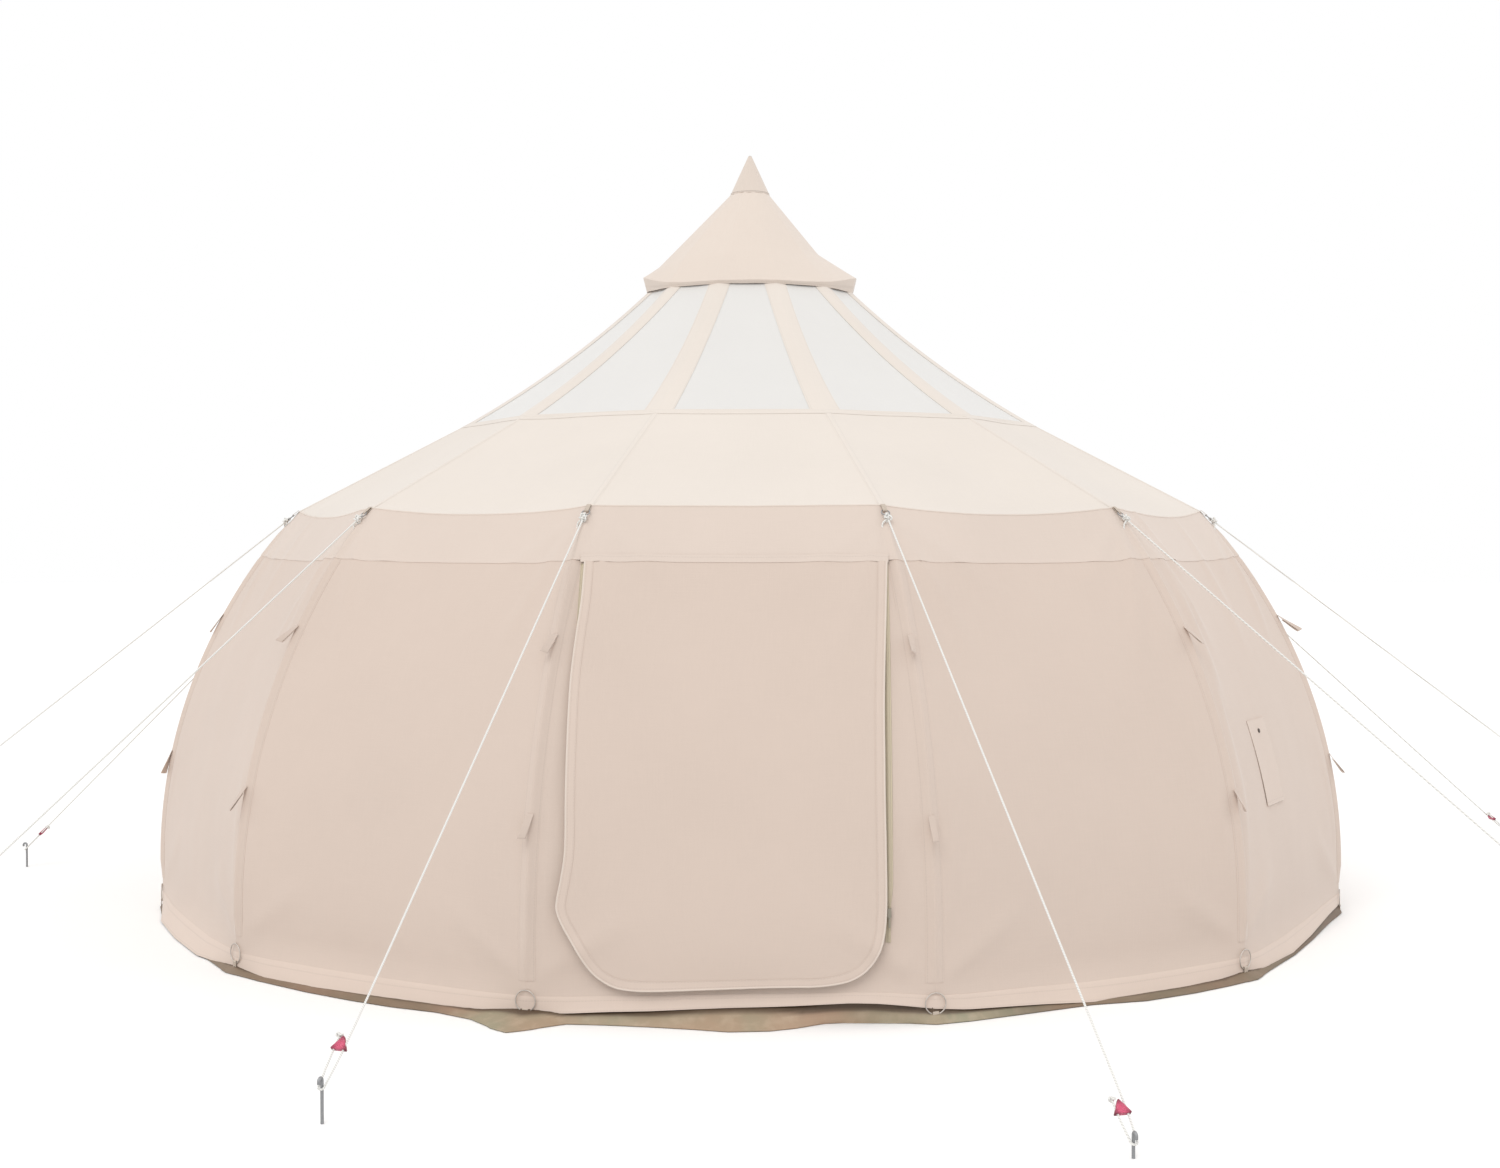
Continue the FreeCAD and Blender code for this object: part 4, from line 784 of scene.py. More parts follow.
# ------------------------------------------------------------------ camera and stage
# the camera's bearing and tip in degrees, its distance and height in metres, and its lens in mm
CAMERA_BEARING, CAMERA_TIP, CAMERA_AWAY, CAMERA_HEIGHT, CAMERA_LENS = 1.5, 1.39, 8.25, 1.525, 44.64
# how strongly the surround lights the object, and the floor's white where the camera sees it
SURROUND = 0.80
WHITE = (0.99, 0.99, 0.99, 1)


class BELLTENT_OT_camera(bpy.types.Operator):
    """Places the camera in front of the tent, a little to the right, at standing height"""
    bl_idname = "bell_tent.camera"
    bl_label = "Camera"

    def execute(self, context):
        bpy.ops.object.camera_add()
        camera = context.object
        turn = math.radians(CAMERA_BEARING)
        camera.location = (CAMERA_AWAY * math.sin(turn), -CAMERA_AWAY * math.cos(turn), CAMERA_HEIGHT)
        camera.rotation_euler = (math.radians(90 - CAMERA_TIP), 0, turn)
        camera.data.sensor_width = 36
        camera.data.lens = CAMERA_LENS
        camera.data.clip_end = 200
        context.scene.camera = camera
        return {"FINISHED"}


class BELLTENT_OT_stage(bpy.types.Operator):
    """Lays a pale floor, a white surround and soft studio light"""
    bl_idname = "bell_tent.stage"
    bl_label = "Stage"

    def execute(self, context):
        bpy.ops.object.select_all(action="DESELECT")
        bpy.ops.mesh.primitive_circle_add(vertices=96, radius=60, fill_type="NGON")
        floor = context.object
        floor.name = "studio_floor"
        floor.location.z = -0.0005
        # painted studio floor: pale, matte, with the slightest mottle
        material, tree = start("painted_floor")
        place = add(tree, "TexCoord", out="Object")
        mottle = add(tree, "TexNoise", {"Vector": place, "Scale": 1.2, "Detail": 2.0}, 0)
        base = add(tree, "Mix", {0: mottle, 6: (0.82, 0.82, 0.82, 1), 7: (0.86, 0.86, 0.86, 1)}, 2,
                   data_type="RGBA")
        # seen straight on it reads as white as the surround, and still takes the tent's shadow
        seen = add(tree, "LightPath", out="Is Camera Ray")
        base = add(tree, "Mix", {0: seen, 6: base, 7: WHITE}, 2, data_type="RGBA")
        shader = tree.nodes["Principled BSDF"]
        tree.links.new(base, shader.inputs["Base Color"])
        shader.inputs["Roughness"].default_value = 0.9
        shader.inputs["Specular IOR Level"].default_value = 0.1
        floor.data.materials.append(material)

        world = bpy.data.worlds.new("studio_surround")
        context.scene.world = world
        world.use_nodes = True
        tree = world.node_tree
        background = tree.nodes["Background"]
        background.inputs["Color"].default_value = (1, 1, 1, 1)
        paths = add(tree, "LightPath").outputs
        seen = add(tree, "Math", {0: paths["Is Glossy Ray"], 1: paths["Is Transmission Ray"]}, 0,
                   operation="MAXIMUM")
        seen = add(tree, "Math", {0: paths["Is Camera Ray"], 1: seen}, 0, operation="MAXIMUM")
        # the surround lights the object at less than the plain white that it is seen as
        strength = add(tree, "Math", {0: seen, 1: 1 - SURROUND, 2: SURROUND}, 0,
                       operation="MULTIPLY_ADD")
        tree.links.new(strength, background.inputs["Strength"])

        bpy.ops.object.light_add(type="SUN", rotation=(math.radians(38), 0, math.radians(-20)))
        sun = context.object
        sun.name = "studio_key"
        sun.data.energy = 0.95
        sun.data.angle = math.radians(40)
        sun.data.color = (1.0, 0.985, 0.96)
        # a soft fill from each side and a little behind, so that the turned panels don't go dull
        for name, side, energy in (("studio_fill_left", -1, 0.22), ("studio_fill_right", 1, 0.42)):
            bpy.ops.object.light_add(
                type="SUN", rotation=(math.radians(58), 0, math.radians(side * 98)))
            fill = context.object
            fill.name = name
            fill.data.energy = energy
            fill.data.angle = math.radians(50)
        context.scene.view_settings.view_transform = "Standard"
        return {"FINISHED"}


# ------------------------------------------------------------------ guy lines
def spot(azimuth, radius, height):
    """A point at an azimuth in degrees, a distance from the pole and a height."""
    return out(math.radians(azimuth)) * radius + UP * height


# An eave loop's seam and slope; from there, how far down the slope its ring lets the rope start.
LOOP_RADIUS, LOOP_HEIGHT, LOOP_SLOPE = 1.94205, 1.64205, math.radians(40)
LOOP_TO_ROPE = 0.0594
# how far under a peg's top the rope turns, and how far beyond the peg's middle
HOOK_DROP, PEG_SLACK = 0.024, 0.0022
# half the gap between the two strands in the frame's rope, and where they leave the peg
STRAND_HALF, PEG_SPREAD = 0.008, 0.0090
RUNNER_SIZE, RUNNER_THICK, ROPE_TAIL = 0.029, 0.0118, 0.015


def guy_axes(guy):
    """A guy line's start at its ring, its turn round the peg, and its three axes."""
    corner, peg_azimuth, peg_radius, peg_height, _ = guy
    loop = spot(corner, LOOP_RADIUS, LOOP_HEIGHT)
    fall = spot(corner, math.cos(LOOP_SLOPE), -math.sin(LOOP_SLOPE))
    peg = spot(peg_azimuth, peg_radius, peg_height - HOOK_DROP)
    away = peg - loop
    begin = loop + fall * (LOOP_TO_ROPE + 0.003 * math.sin(fall.angle(away)))
    away.z = 0
    turn = peg + away.normalized() * PEG_SLACK
    rise = (begin - turn).normalized()
    side = UP.cross(rise).normalized()
    return begin, turn, rise, side, rise.cross(side)


def knot_points(centre, first, second, third, reach):
    """An overhand knot pulled tight: a trefoil about a centre."""
    points = []
    for i in range(24):
        turn = math.tau * i / 24
        points.append(centre + reach * (
            first * (math.sin(turn) + 2 * math.sin(2 * turn)) / 3
            + second * (math.cos(turn) - 2 * math.cos(2 * turn)) / 3 - third * math.sin(3 * turn) / 3))
    return points


class BELLTENT_OT_guy_ropes(bpy.types.Operator):
    """Runs the twelve taut guy ropes from their rings, round their pegs and back past the runners"""
    bl_idname = "bell_tent.guy_ropes"
    bl_label = "Guy ropes"

    def execute(self, context):
        form = shape()
        radius = form.rope / 2
        finish = ribbed("braided_polyester_cord", toned(colours().rope), 0.005, 0.0006, "DIAGONAL", 0.6)

        def tied(name, points, closed=True):
            return tube(name, points, radius, finish, closed)

        for name, guy in GUYS.items():
            begin, turn, rise, side, face = guy_axes(guy)
            runner = guy[4]
            tail = runner + RUNNER_SIZE / 2 + ROPE_TAIL
            first = (turn - side * STRAND_HALF - begin).normalized()

            def strand(aside, up):
                return turn + side * aside + rise * up

            route = [
                begin, begin + first * 0.03,
                strand(-form.strand, tail + 0.12), strand(-form.strand, runner - 0.02),
                strand(-PEG_SPREAD - 0.0005, 0.014), strand(-PEG_SPREAD, -0.0085),
                strand(PEG_SPREAD, -0.0085), strand(PEG_SPREAD + 0.0005, 0.014),
                strand(form.strand, runner - 0.02), strand(form.strand, tail),
            ]
            rope = round_curve(f"guy_line_{name}", route, radius, finish, between=12)
            hitch, ring_wire = begin + first * 0.016, begin - first * 0.0044
            loose = ((0.016, 0, 0), (0.020, 0.014, 0.004), (0.016, 0.022, 0.022),
                     (0.020, 0.020, 0.038))
            turns = [math.tau * i / 8 for i in range(8)]
            knot = joined(f"guy_knots_{name}", [
                tied("hitch", knot_points(hitch, side, face, first, 0.0135)),
                tied("bight", knot_points(begin + first * 0.006 + face * 0.004, face, side, first,
                                          0.0110)),
                tied("loose_end", [begin + first * a + side * b - UP * c for a, b, c in loose],
                     False),
                tied("eye", [ring_wire + first * 0.0075 * math.cos(a) + face * 0.005 * math.sin(a)
                             for a in turns]),
                tied("stopper", knot_points(route[-1], side, face, rise, 0.0095)),
            ])
            settle(rope, "tent", "rope", f"guy_rope_{name}")
            settle(knot, "tent", "rope")
            tuple(begin)
        return {"FINISHED"}


class BELLTENT_OT_runners(bpy.types.Operator):
    """Moulds the three-sided line runners, with a sunk web and a hole for each strand"""
    bl_idname = "bell_tent.runners"
    bl_label = "Line runners"

    def execute(self, context):
        bpy.ops.object.select_all(action="DESELECT")
        bpy.ops.mesh.primitive_cylinder_add(vertices=3, radius=RUNNER_SIZE, depth=RUNNER_THICK)
        pattern = context.object
        pattern.data.transform(Matrix.Rotation(-math.pi / 2, 4, "Z"))
        mesh = pattern.data
        # the web is sunk 2.2 mm inside a 5 mm rim, on both faces
        for sign in (1, -1):
            edit(pattern, "FACE", lambda face: face.normal.z * sign > 0.9 and face.area > 0.0002)
            bpy.ops.mesh.inset(thickness=0.0050, depth=0)
            bpy.ops.mesh.inset(thickness=0.0016, depth=-0.0022)

        def upright(edge):
            first, last = (mesh.vertices[i].co for i in edge.vertices)
            return abs(first.z - last.z) > 0.004
        # round the three corners
        edit(pattern, "EDGE", upright)
        bpy.ops.mesh.bevel(offset=0.0052, segments=5, affect="EDGES")
        bpy.ops.object.mode_set(mode="OBJECT")
        modify(pattern, "BEVEL", width=0.0007, segments=2, limit_method="ANGLE",
               angle_limit=math.radians(40))
        for place in (-1, 1):
            bpy.ops.object.select_all(action="DESELECT")
            bpy.ops.mesh.primitive_cylinder_add(
                vertices=20, radius=shape().rope / 2 + 0.0006, depth=0.09,
                location=(0, place * shape().strand, 0), rotation=(0, math.pi / 2, 0))
            drill = context.object
            modify(pattern, "BOOLEAN", operation="DIFFERENCE", object=drill, solver="EXACT")
            bpy.data.objects.remove(drill)
        layer = pattern.data.uv_layers.get("cloth") or pattern.data.uv_layers.new(name="cloth")
        for loop in pattern.data.loops:
            layer.data[loop.index].uv = pattern.data.vertices[loop.vertex_index].co.xy
        refinish(pattern, runner_nylon(toned(colours().runner)), 35)
        for name, guy in GUYS.items():
            begin, turn, rise, side, face = guy_axes(guy)
            copy = pattern.copy()
            copy.data = pattern.data.copy()
            copy.name = f"runner_{name}"
            context.collection.objects.link(copy)
            centre = turn + rise * guy[4]
            copy.data.transform(Matrix((
                (rise.x, side.x, face.x, centre.x), (rise.y, side.y, face.y, centre.y),
                (rise.z, side.z, face.z, centre.z), (0, 0, 0, 1))))
            settle(copy, f"runner_{name}", "runner", f"guy_runner_{name}")
        bpy.data.objects.remove(pattern)
        return {"FINISHED"}


# ------------------------------------------------------------------ walls
def panel_columns(spacing):
    """Shares of the half panel at which a panel has a column, from its first corner to its last."""
    half = wall_half(0.2)
    shares = [1 - stop / half for stop in CORNER_STOPS]
    inner = steps((-shares[-1], shares[-1]), spacing / half)
    return [-s for s in shares[:-1]] + inner + shares[-2::-1]


class BELLTENT_OT_walls(bpy.types.Operator):
    """Hangs the twelve wall panels as one cloth, with the doorway and the cord port cut out"""
    bl_idname = "bell_tent.walls"
    bl_label = "Walls"

    def execute(self, context):
        finish = canvas("cotton_canvas_wall", colours().wall)
        plain = panel_columns(0.019)
        port_edges = [edge / wall_half(0.7) for edge in PORT_HOLE[:2]]
        columns = []
        for panel in range(PANELS):
            shares = plain[:-1]
            if panel == 0:
                columns += [(0, "left", q) for q in steps((1, 0), 0.11)[:-1]]
                columns += [(0, "door", s) for s in steps((-1, 1), 0.06)]
                columns += [(0, "right", q) for q in steps((0, 1), 0.11)[1:-1]]
                continue
            if panel == PORT_PANEL:
                shares = [s for s in shares if min(abs(s - e) for e in port_edges) > 0.012]
                shares = sorted(shares + port_edges)
            columns += [(panel, "plain", s) for s in shares]

        def across(column, height):
            panel, part, share = column
            half = wall_half(height)
            if part == "plain":
                return share * half
            if part == "door":
                return share * DOOR
            reach = DOOR + (half - DOOR) * share ** 1.6 if share else DOOR
            return reach if part == "right" else -reach

        def place(column, height):
            panel, part, share = column
            low = height
            x = across(column, height)
            if height > SEAM - 0.2:
                # the top edge follows the seam, tucked up behind the band
                edge = abs(x) / wall_half(height)
                low += (seam_height(edge) - SEAM + 0.006) * smooth((height - SEAM + 0.2) / 0.2)
            return wall_point(panel, across(column, low), low, -0.0006)

        heights = steps((HEM, 0.06, 0.085, 0.11, FOOT_TOP, UPRIGHT, *PORT_HOLE[2:], SEAM), 0.030)
        near = 1e-6
        hole = [i for i, (panel, _, share) in enumerate(columns)
                if panel == PORT_PANEL and port_edges[0] - near <= share < port_edges[1] - near]

        def keep(i, j):
            low, high = heights[j], heights[j + 1]
            if columns[i][1] == "door" and columns[i][2] < 1 and low >= UPRIGHT - near:
                return False
            return not (i in hole and PORT_HOLE[2] - near <= low and high <= PORT_HOLE[3] + near)

        walls = cloth("wall_cloth", columns, heights, place, CANVAS - 0.0006, finish, keep, ring=True)
        settle(walls, "tent", "canvas",
               "wall_panels", "wall_panel_cord_port", "front_wall_sides", "door_sill")
        return {"FINISHED"}


class BELLTENT_OT_band(bpy.types.Operator):
    """Sews the band under the eave, lapped over the walls at its seam"""
    bl_idname = "bell_tent.band"
    bl_label = "Eave band"

    def execute(self, context):
        finish = canvas("cotton_canvas_band", colours().band)
        columns = round_tent(panel_columns(0.022))

        def place(column, share):
            panel, edge = column
            low, high = seam_height(edge) - 0.004, EAVE - 0.0008 - eave_dip(panel, edge)
            height = low + (high - low) * share
            lift = 0.0014 * (1 - share) ** 3
            if panel == 0:
                # it laps over the head of the door flap
                over = smooth((0.545 - abs(edge * wall_half(SEAM))) / 0.04)
                lift = max(lift, 0.0085 * (1 - share) ** 2 * over)
            return wall_point(panel, edge * wall_half(height), height, lift)

        band = cloth("band_cloth", columns, steps((0, 0.04, 0.9, 1), 0.12), place, CANVAS - 0.0008,
                     finish, ring=True)
        settle(band, "tent", "canvas", "eave_band")
        return {"FINISHED"}


class BELLTENT_OT_wall_tapes(bpy.types.Operator):
    """Sews the pole sleeves' outer tapes up the corners, and the hem round the foot"""
    bl_idname = "bell_tent.wall_tapes"
    bl_label = "Sleeve tapes and hem"

    def execute(self, context):
        sleeve = canvas("cotton_canvas_sleeve", colours().wall, (0.005, 0.057))
        heights = steps((0.128, SEAM - 0.014, SEAM - 0.008, SEAM + 0.004), 0.035)
        across = [0.031, 0.026, 0.021, 0.016, 0.010, 0.005]
        across += [0] + [-aside for aside in across[::-1]]
        tapes = []
        for panel in range(PANELS):
            def place(height, aside, panel=panel):
                # the top end is tucked in under the band, and the long edges lie down
                lift = -0.0004 if height > SEAM - 0.01 else 0.0011 if abs(aside) < 0.03 else 0.0003
                return corner_point(panel, aside, height, lift)
            tapes.append(cloth("tape", heights, across, place, 0.0012, sleeve))
        tape = joined("sleeve_tapes", tapes)
        settle(tape, "tent", "canvas", "wall_pole_sleeves")

        hem = canvas("cotton_canvas_hem", toned(colours().wall, 1.07), (0.004, 0.036))
        columns = round_tent(panel_columns(0.03))
        edge = cloth(
            "hem_band", columns, [HEM - 0.001, 0.049, 0.055, 0.062, 0.070, 0.078, 0.084, 0.087],
            lambda column, height: wall_point(column[0], column[1] * wall_half(height), height,
                                              0.0014 if height < 0.085 else 0.0004),
            0.0012, hem, ring=True)
        settle(edge, "tent", "canvas")
        return {"FINISHED"}


class BELLTENT_OT_groundsheet(bpy.types.Operator):
    """Turns up the groundsheet's low wall, which bulges out from under the hem"""
    bl_idname = "bell_tent.groundsheet"
    bl_label = "Groundsheet"

    def execute(self, context):
        finish = coated_sheet(toned(colours().sheet))
        finish_node(finish, "groundsheet_floor")
        columns = round_tent(steps((-1, -0.97, -0.9, 0.9, 0.97, 1), 0.022))
        layer = -CANVAS - 0.0008
        # shares of the cloth: up behind the wall, of the rest tucked under the hem, and to the ground
        inside, tucked, ground = 0.35, 0.15, 1

        def tuck(hang):
            """How far out the cloth is tucked back under a hem that hangs this far out."""
            return 0.35 * hang - 0.006

        def place(column, share):
            panel, edge = column
            x = edge * wall_half(0.1)
            if share <= inside:
                return wall_point(panel, x, 0.112 - 0.066 * share / inside, layer)
            azimuth = panel * STEP
            low, hang, reach = foot(panel, x)
            face = out(azimuth + math.copysign(HALF, edge) * max(0.0, 1 - (1 - abs(edge)) / 0.08))
            flat = out(azimuth) * BASE_FLAT + along(azimuth) * x
            reach /= math.cos(HALF) if abs(edge) > 0.92 else 1
            corner = math.exp(-((1 - abs(edge)) / 0.06) ** 2)
            top = wall_point(panel, x, HEM + 0.001, layer)
            if share > ground:
                # turned back along the ground, over the edge of the floor
                share = (share - ground) * 10
                outward = (max(reach, 0.006) - 0.002) * (1 - share) - 0.012 * share
                return flat + face * outward + UP * (0.0008 + 0.0029 * share)
            # back under the hem, then out and down to the ground in soft pleats
            depth = (share - inside) / (1 - inside)
            recess = flat + face * tuck(hang) + UP * (low + 0.010)
            pleat = noise.noise(Vector((panel * 9.0 + edge * 8.0, depth * 1.5, 1.0)))
            fine = noise.noise(Vector((panel * 31.0 + edge * 30.0, depth * 3.0, 6.0)))
            swing = 0.007 * pleat + (0.003 + 0.006 * corner) * fine
            swing *= math.sin(math.pi * min(1.0, depth * 1.1))
            if depth < tucked:
                return top.lerp(recess, depth / tucked)
            q = (depth - tucked) / (1 - tucked)
            bow = 0.35 + 0.25 * pleat
            outward = tuck(hang)
            outward += (reach - outward) * (q ** (1 + bow) if reach > outward else q)
            height = (low + 0.010) * (1 - q) ** (0.75 + 0.3 * bow) + 0.0035
            return flat + face * (outward + swing) + UP * height

        depths = (0.05, 0.1, 0.15, 0.2, 0.27, 0.35, 0.44, 0.53, 0.62, 0.72, 0.82, 0.91, 1.0)
        shares = [0, 0.12, 0.24, inside] + [inside + (1 - inside) * depth for depth in depths]
        shares = (shares + [1.0001, 1.05, 1.1])[::-1]
        skirt = cloth("groundsheet_skirt", columns, shares, place, 0.0015, finish, ring=True)
        # painted shade: a layer that darkens the sheet in the hem's shadow and round the sides
        painted_shade_layer = skirt.data.attributes.new("soil_and_shade", "FLOAT", "POINT")
        count = len(columns)
        for index, entry in enumerate(painted_shade_layer.data):
            row, column = divmod(index % (count * len(shares)), count)
            share = shares[row]
            if share <= 0.36:
                continue
            panel, edge = columns[column]
            _, hang, reach = foot(panel, edge * wall_half(0.1))
            begin = tuck(hang)
            under = ((hang - begin) / max(hang - begin, reach - begin)) ** 0.72
            q = ((min(share, ground) - inside) / (1 - inside) - tucked) / (1 - tucked)
            shadow = smooth((max(0.25, min(under, 0.45)) + 0.28 - q) / 0.24)
            # painted shade: it is dark all over away from the door, and more so round the sides and the
            # back
            azimuth = abs((panel * 30 + edge * 15 + 180) % 360 - 180)
            dull = 0.55 * smooth((azimuth - 17) / 7) + 0.23 * smooth((azimuth - 44) / 14)
            entry.value = max(shadow, dull)
        settle(skirt, "tent", "groundsheet", "groundsheet_walls")
        return {"FINISHED"}


# ------------------------------------------------------------------ roof
class BELLTENT_OT_roof(bpy.types.Operator):
    """Stretches the lower roof as one cloth, with a piped eave and a taped seam at each pole"""
    bl_idname = "bell_tent.roof"
    bl_label = "Lower roof"

    def execute(self, context):
        finish = canvas("cotton_canvas_roof", colours().roof)
        columns = round_tent(steps((-1, -0.97, -0.9, 0.9, 0.97, 1), 0.05))
        rows = steps((0, 0.015, 0.03, 0.045, 0.06, 0.1, 0.9, 0.998), 0.05)
        roof = cloth("roof_cloth", columns, rows, lambda column, row: roof_point(*column, row), CANVAS,
                     finish, ring=True)
        settle(roof, "tent", "canvas", "roof_panels")

        # the eave is piped: a roll of canvas along the edge where roof and band are sewn together
        piping = tube("eave_piping", [roof_point(*column, 0.0, -0.0016) for column in columns], 0.0036,
                      canvas("cotton_canvas_piping", colours().cap), closed=True, resolution=2)
        settle(piping, "tent", "canvas")

        seam = canvas("cotton_canvas_roof_seam", colours().roof, (0.004, 0.024))
        tapes = []
        for panel in range(PANELS):
            def place(row, aside, panel=panel):
                flat = EAVE_FLAT + (BREAK_FLAT - EAVE_FLAT) * row
                edge = abs(aside) / (flat * math.tan(HALF))
                owner, sign = (panel, 1) if aside <= 0 else ((panel + 1) % PANELS, -1)
                return roof_point(owner, sign * (1 - edge), row, 0.0008)
            tapes.append(cloth("tape", steps((0.012, 0.99), 0.05),
                               [0.014, 0.008, 0.003, 0, -0.003, -0.008, -0.014], place, 0.0008, seam))
        tape = joined("roof_seam_tapes", tapes)
        settle(tape, "tent", "canvas")
        return {"FINISHED"}


class BELLTENT_OT_windows(bpy.types.Operator):
    """Fits the twelve film windows between the canvas ribs, and the vent cone above them"""
    bl_idname = "bell_tent.windows"
    bl_label = "Windows and ribs"

    def execute(self, context):
        film = window_film(toned(colours().film))
        rib_finish = canvas("cotton_canvas_rib", colours().roof, (0.005, 0.118))

        rib_low, rib_high = 0.062, 0.048

        def halves(row):
            """Half the width of a panel, and of a rib, at a share of the way up."""
            flat = BREAK_FLAT + (CROWN_FLAT - BREAK_FLAT) * row
            return flat * math.tan(HALF), rib_low + (rib_high - rib_low) * row

        panes, ribs = [], []
        for panel in range(PANELS):
            def pane(share, row, panel=panel):
                half, rib = halves(row)
                edge = share * (half - rib + 0.004) / half
                swell = 0.003 * (1 - share ** 2) * math.sin(math.pi * row)
                return upper_point(panel, edge, row, -0.0012 - swell)
            panes.append(cloth("pane", steps((-1, 1), 0.1), steps((0.0, 1.0), 0.04), pane, 0.0012,
                               film))

            def rib(share, row, panel=panel):
                half, reach = halves(row)
                aside = share * reach
                owner, sign = (panel, 1) if aside <= 0 else ((panel + 1) % PANELS, -1)
                edge = sign * (1 - abs(aside) / half)
                lift = 0.0006 + 0.0022 * (1 - share ** 2)
                return upper_point(owner, edge, row, lift)
            ribs.append(cloth("rib", steps((0.0, 1.0), 0.04), steps((1, 0.92, 0, -0.92, -1), 0.2),
                              lambda row, share: rib(share, row), 0.0015, rib_finish))
        glazing = joined("roof_window_film", panes)
        settle(glazing, "tent", "clear_film", "roof_windows")
        frames = joined("roof_rib_cloth", ribs)
        settle(frames, "tent", "canvas", "roof_ribs")

        # a tape closes the joint between the roof and the windows
        tape_finish = canvas("cotton_canvas_ring_tape", colours().roof, (0.004, 0.030))
        columns = round_tent(steps((-1, 1), 0.06))

        # how long the roof's slope is below the break, and the windows' above it
        slope_below, slope_above = 0.76, 0.968

        def ring(column, rise):
            if rise <= 0:
                return roof_point(*column, 1 + rise / slope_below, 0.0016)
            return upper_point(*column, rise / slope_above, 0.0032)
        rows = [-0.018, -0.016, -0.008, -0.002, 0.003, 0.009, 0.014, 0.016]
        tape = cloth("break_tape", columns, rows, ring, 0.0012, tape_finish, ring=True)
        settle(tape, "tent", "canvas")

        vent = cloth(
            "vent_cloth", round_tent(steps((-1, 1), 0.2)),
            steps((0.002, 0.99), 0.06),
            lambda column, row: slope_point(*column, row, *VENT_RINGS, hollow=0.004), CANVAS,
            canvas("cotton_canvas_vent", colours().wall), ring=True)
        settle(vent, "tent", "canvas", "vent_cone")
        return {"FINISHED"}


class BELLTENT_OT_cap(bpy.types.Operator):
    """Shapes the rain cap with its hemmed rim, and the stitched tip over the pole's head"""
    bl_idname = "bell_tent.cap"
    bl_label = "Rain cap"

    def execute(self, context):
        finish = canvas("cotton_canvas_cap", colours().cap)
        columns = round_tent(steps((-1, -0.92, 0.92, 1), 0.1))
        cap = cloth("cap_cloth", columns, steps((0, 0.03, 0.06, 0.27, 0.36, 1), 0.03),
                    lambda column, row: cap_point(*column, row), CANVAS, finish, ring=True)
        settle(cap, "rain_cap", "canvas", "rain_cap")

        hem = cloth("cap_hem", columns, [-0.002, 0.004, 0.03, 0.052, 0.058],
                    lambda column, row: cap_point(*column, row, 0.0010 if row < 0.055 else 0.0003),
                    0.0009, canvas("cotton_canvas_cap_hem", colours().cap, (0.006, 0.030)), ring=True)
        settle(hem, "rain_cap", "canvas")

        def circle(count):
            return [math.tau * i / count for i in range(count)]

        def cone(azimuth, share):
            height = CAP_TOP + 0.0004 + (TIP_TOP - CAP_TOP - 0.0004) * share
            radius = TIP_RADIUS + (TIP_END - TIP_RADIUS) * share
            radius += 0.0005 * math.sin(math.pi * share)
            radius *= 1 + 0.012 * math.cos(12 * azimuth) * (1 - share)
            return out(azimuth) * radius + UP * height
        tip = cloth("tip_cloth", circle(72), steps((0.0, 0.03, 0.06, 0.97, 1), 0.06), cone, 0.0026,
                    canvas("cotton_canvas_tip", toned(colours().cap, 0.97)), ring=True)
        settle(tip, "rain_cap", "canvas", "cap_tip")
        seam = tube("tip_seam", [cone(azimuth, 0.03) for azimuth in circle(48)], 0.0016,
                    canvas("cotton_canvas_tip_seam", toned(colours().cap, 0.72)), closed=True,
                    resolution=2)
        settle(seam, "rain_cap", "canvas")
        # the tip's end is gathered and bound with thread
        thread = ribbed("bound_thread", linear("#6E685D")[:3], 0.001, 0.0002, "Z")
        bead = tube("tip_binding", [
            Vector((0.0062 * math.cos(a), 0.0062 * math.sin(a), TIP_TOP - 0.004)) for a in circle(12)],
            0.0022, thread, closed=True)
        button = tube("tip_end", [UP * (TIP_TOP + rise) for rise in (-0.006, -0.003, 0.001)], 0.0055,
                      thread)
        settle(joined("tip_binding", [bead, button]), "rain_cap", "canvas")
        return {"FINISHED"}


# ------------------------------------------------------------------ doorway
FLAP_LOW, FLAP_TOP, FLAP_LIFT = 0.110, 1.444, 0.0105
ZIP_PLACE, ZIP_HALF = 0.502, 0.012


def through(points, count=6):
    """A smooth line through points: each stretch as 'count' short steps."""
    ends = [2 * Vector(points[0]) - Vector(points[1])] + [Vector(p) for p in points] + [
        2 * Vector(points[-1]) - Vector(points[-2])]
    line = []
    for a, b, c, d in zip(ends, ends[1:], ends[2:], ends[3:]):
        for i in range(count):
            t = i / count
            line.append(0.5 * (2 * b + (c - a) * t + (2 * a - 5 * b + 4 * c - d) * t ** 2
                               + (3 * b - a - 3 * c + d) * t ** 3))
    return line + [Vector(points[-1])]


# The flap's outline, from the top of its left edge round the foot to the top of its right edge, in
# metres from the door's middle and up from the ground. It is cut full, so it hangs off square.
FLAP_LEFT = through((
    (-0.499, 1.4432), (-0.500, 1.320), (-0.512, 1.190), (-0.522, 1.040), (-0.524, 0.820),
    (-0.523, 0.690), (-0.522, 0.540), (-0.533, 0.450), (-0.545, 0.385), (-0.545, 0.352),
    (-0.527, 0.307), (-0.489, 0.244), (-0.448, 0.178), (-0.410, 0.140), (-0.360, 0.115),
    (-0.300, 0.106), (-0.250, 0.1045)))
FLAP_RIGHT = through((
    (0.508, 1.4432), (0.503, 1.320), (0.497, 1.190), (0.490, 1.000), (0.489, 0.820), (0.489, 0.700),
    (0.491, 0.545), (0.492, 0.420), (0.491, 0.350), (0.486, 0.290), (0.474, 0.240), (0.450, 0.195),
    (0.420, 0.163), (0.385, 0.142), (0.345, 0.129), (0.300, 0.1205), (0.250, 0.1165)))


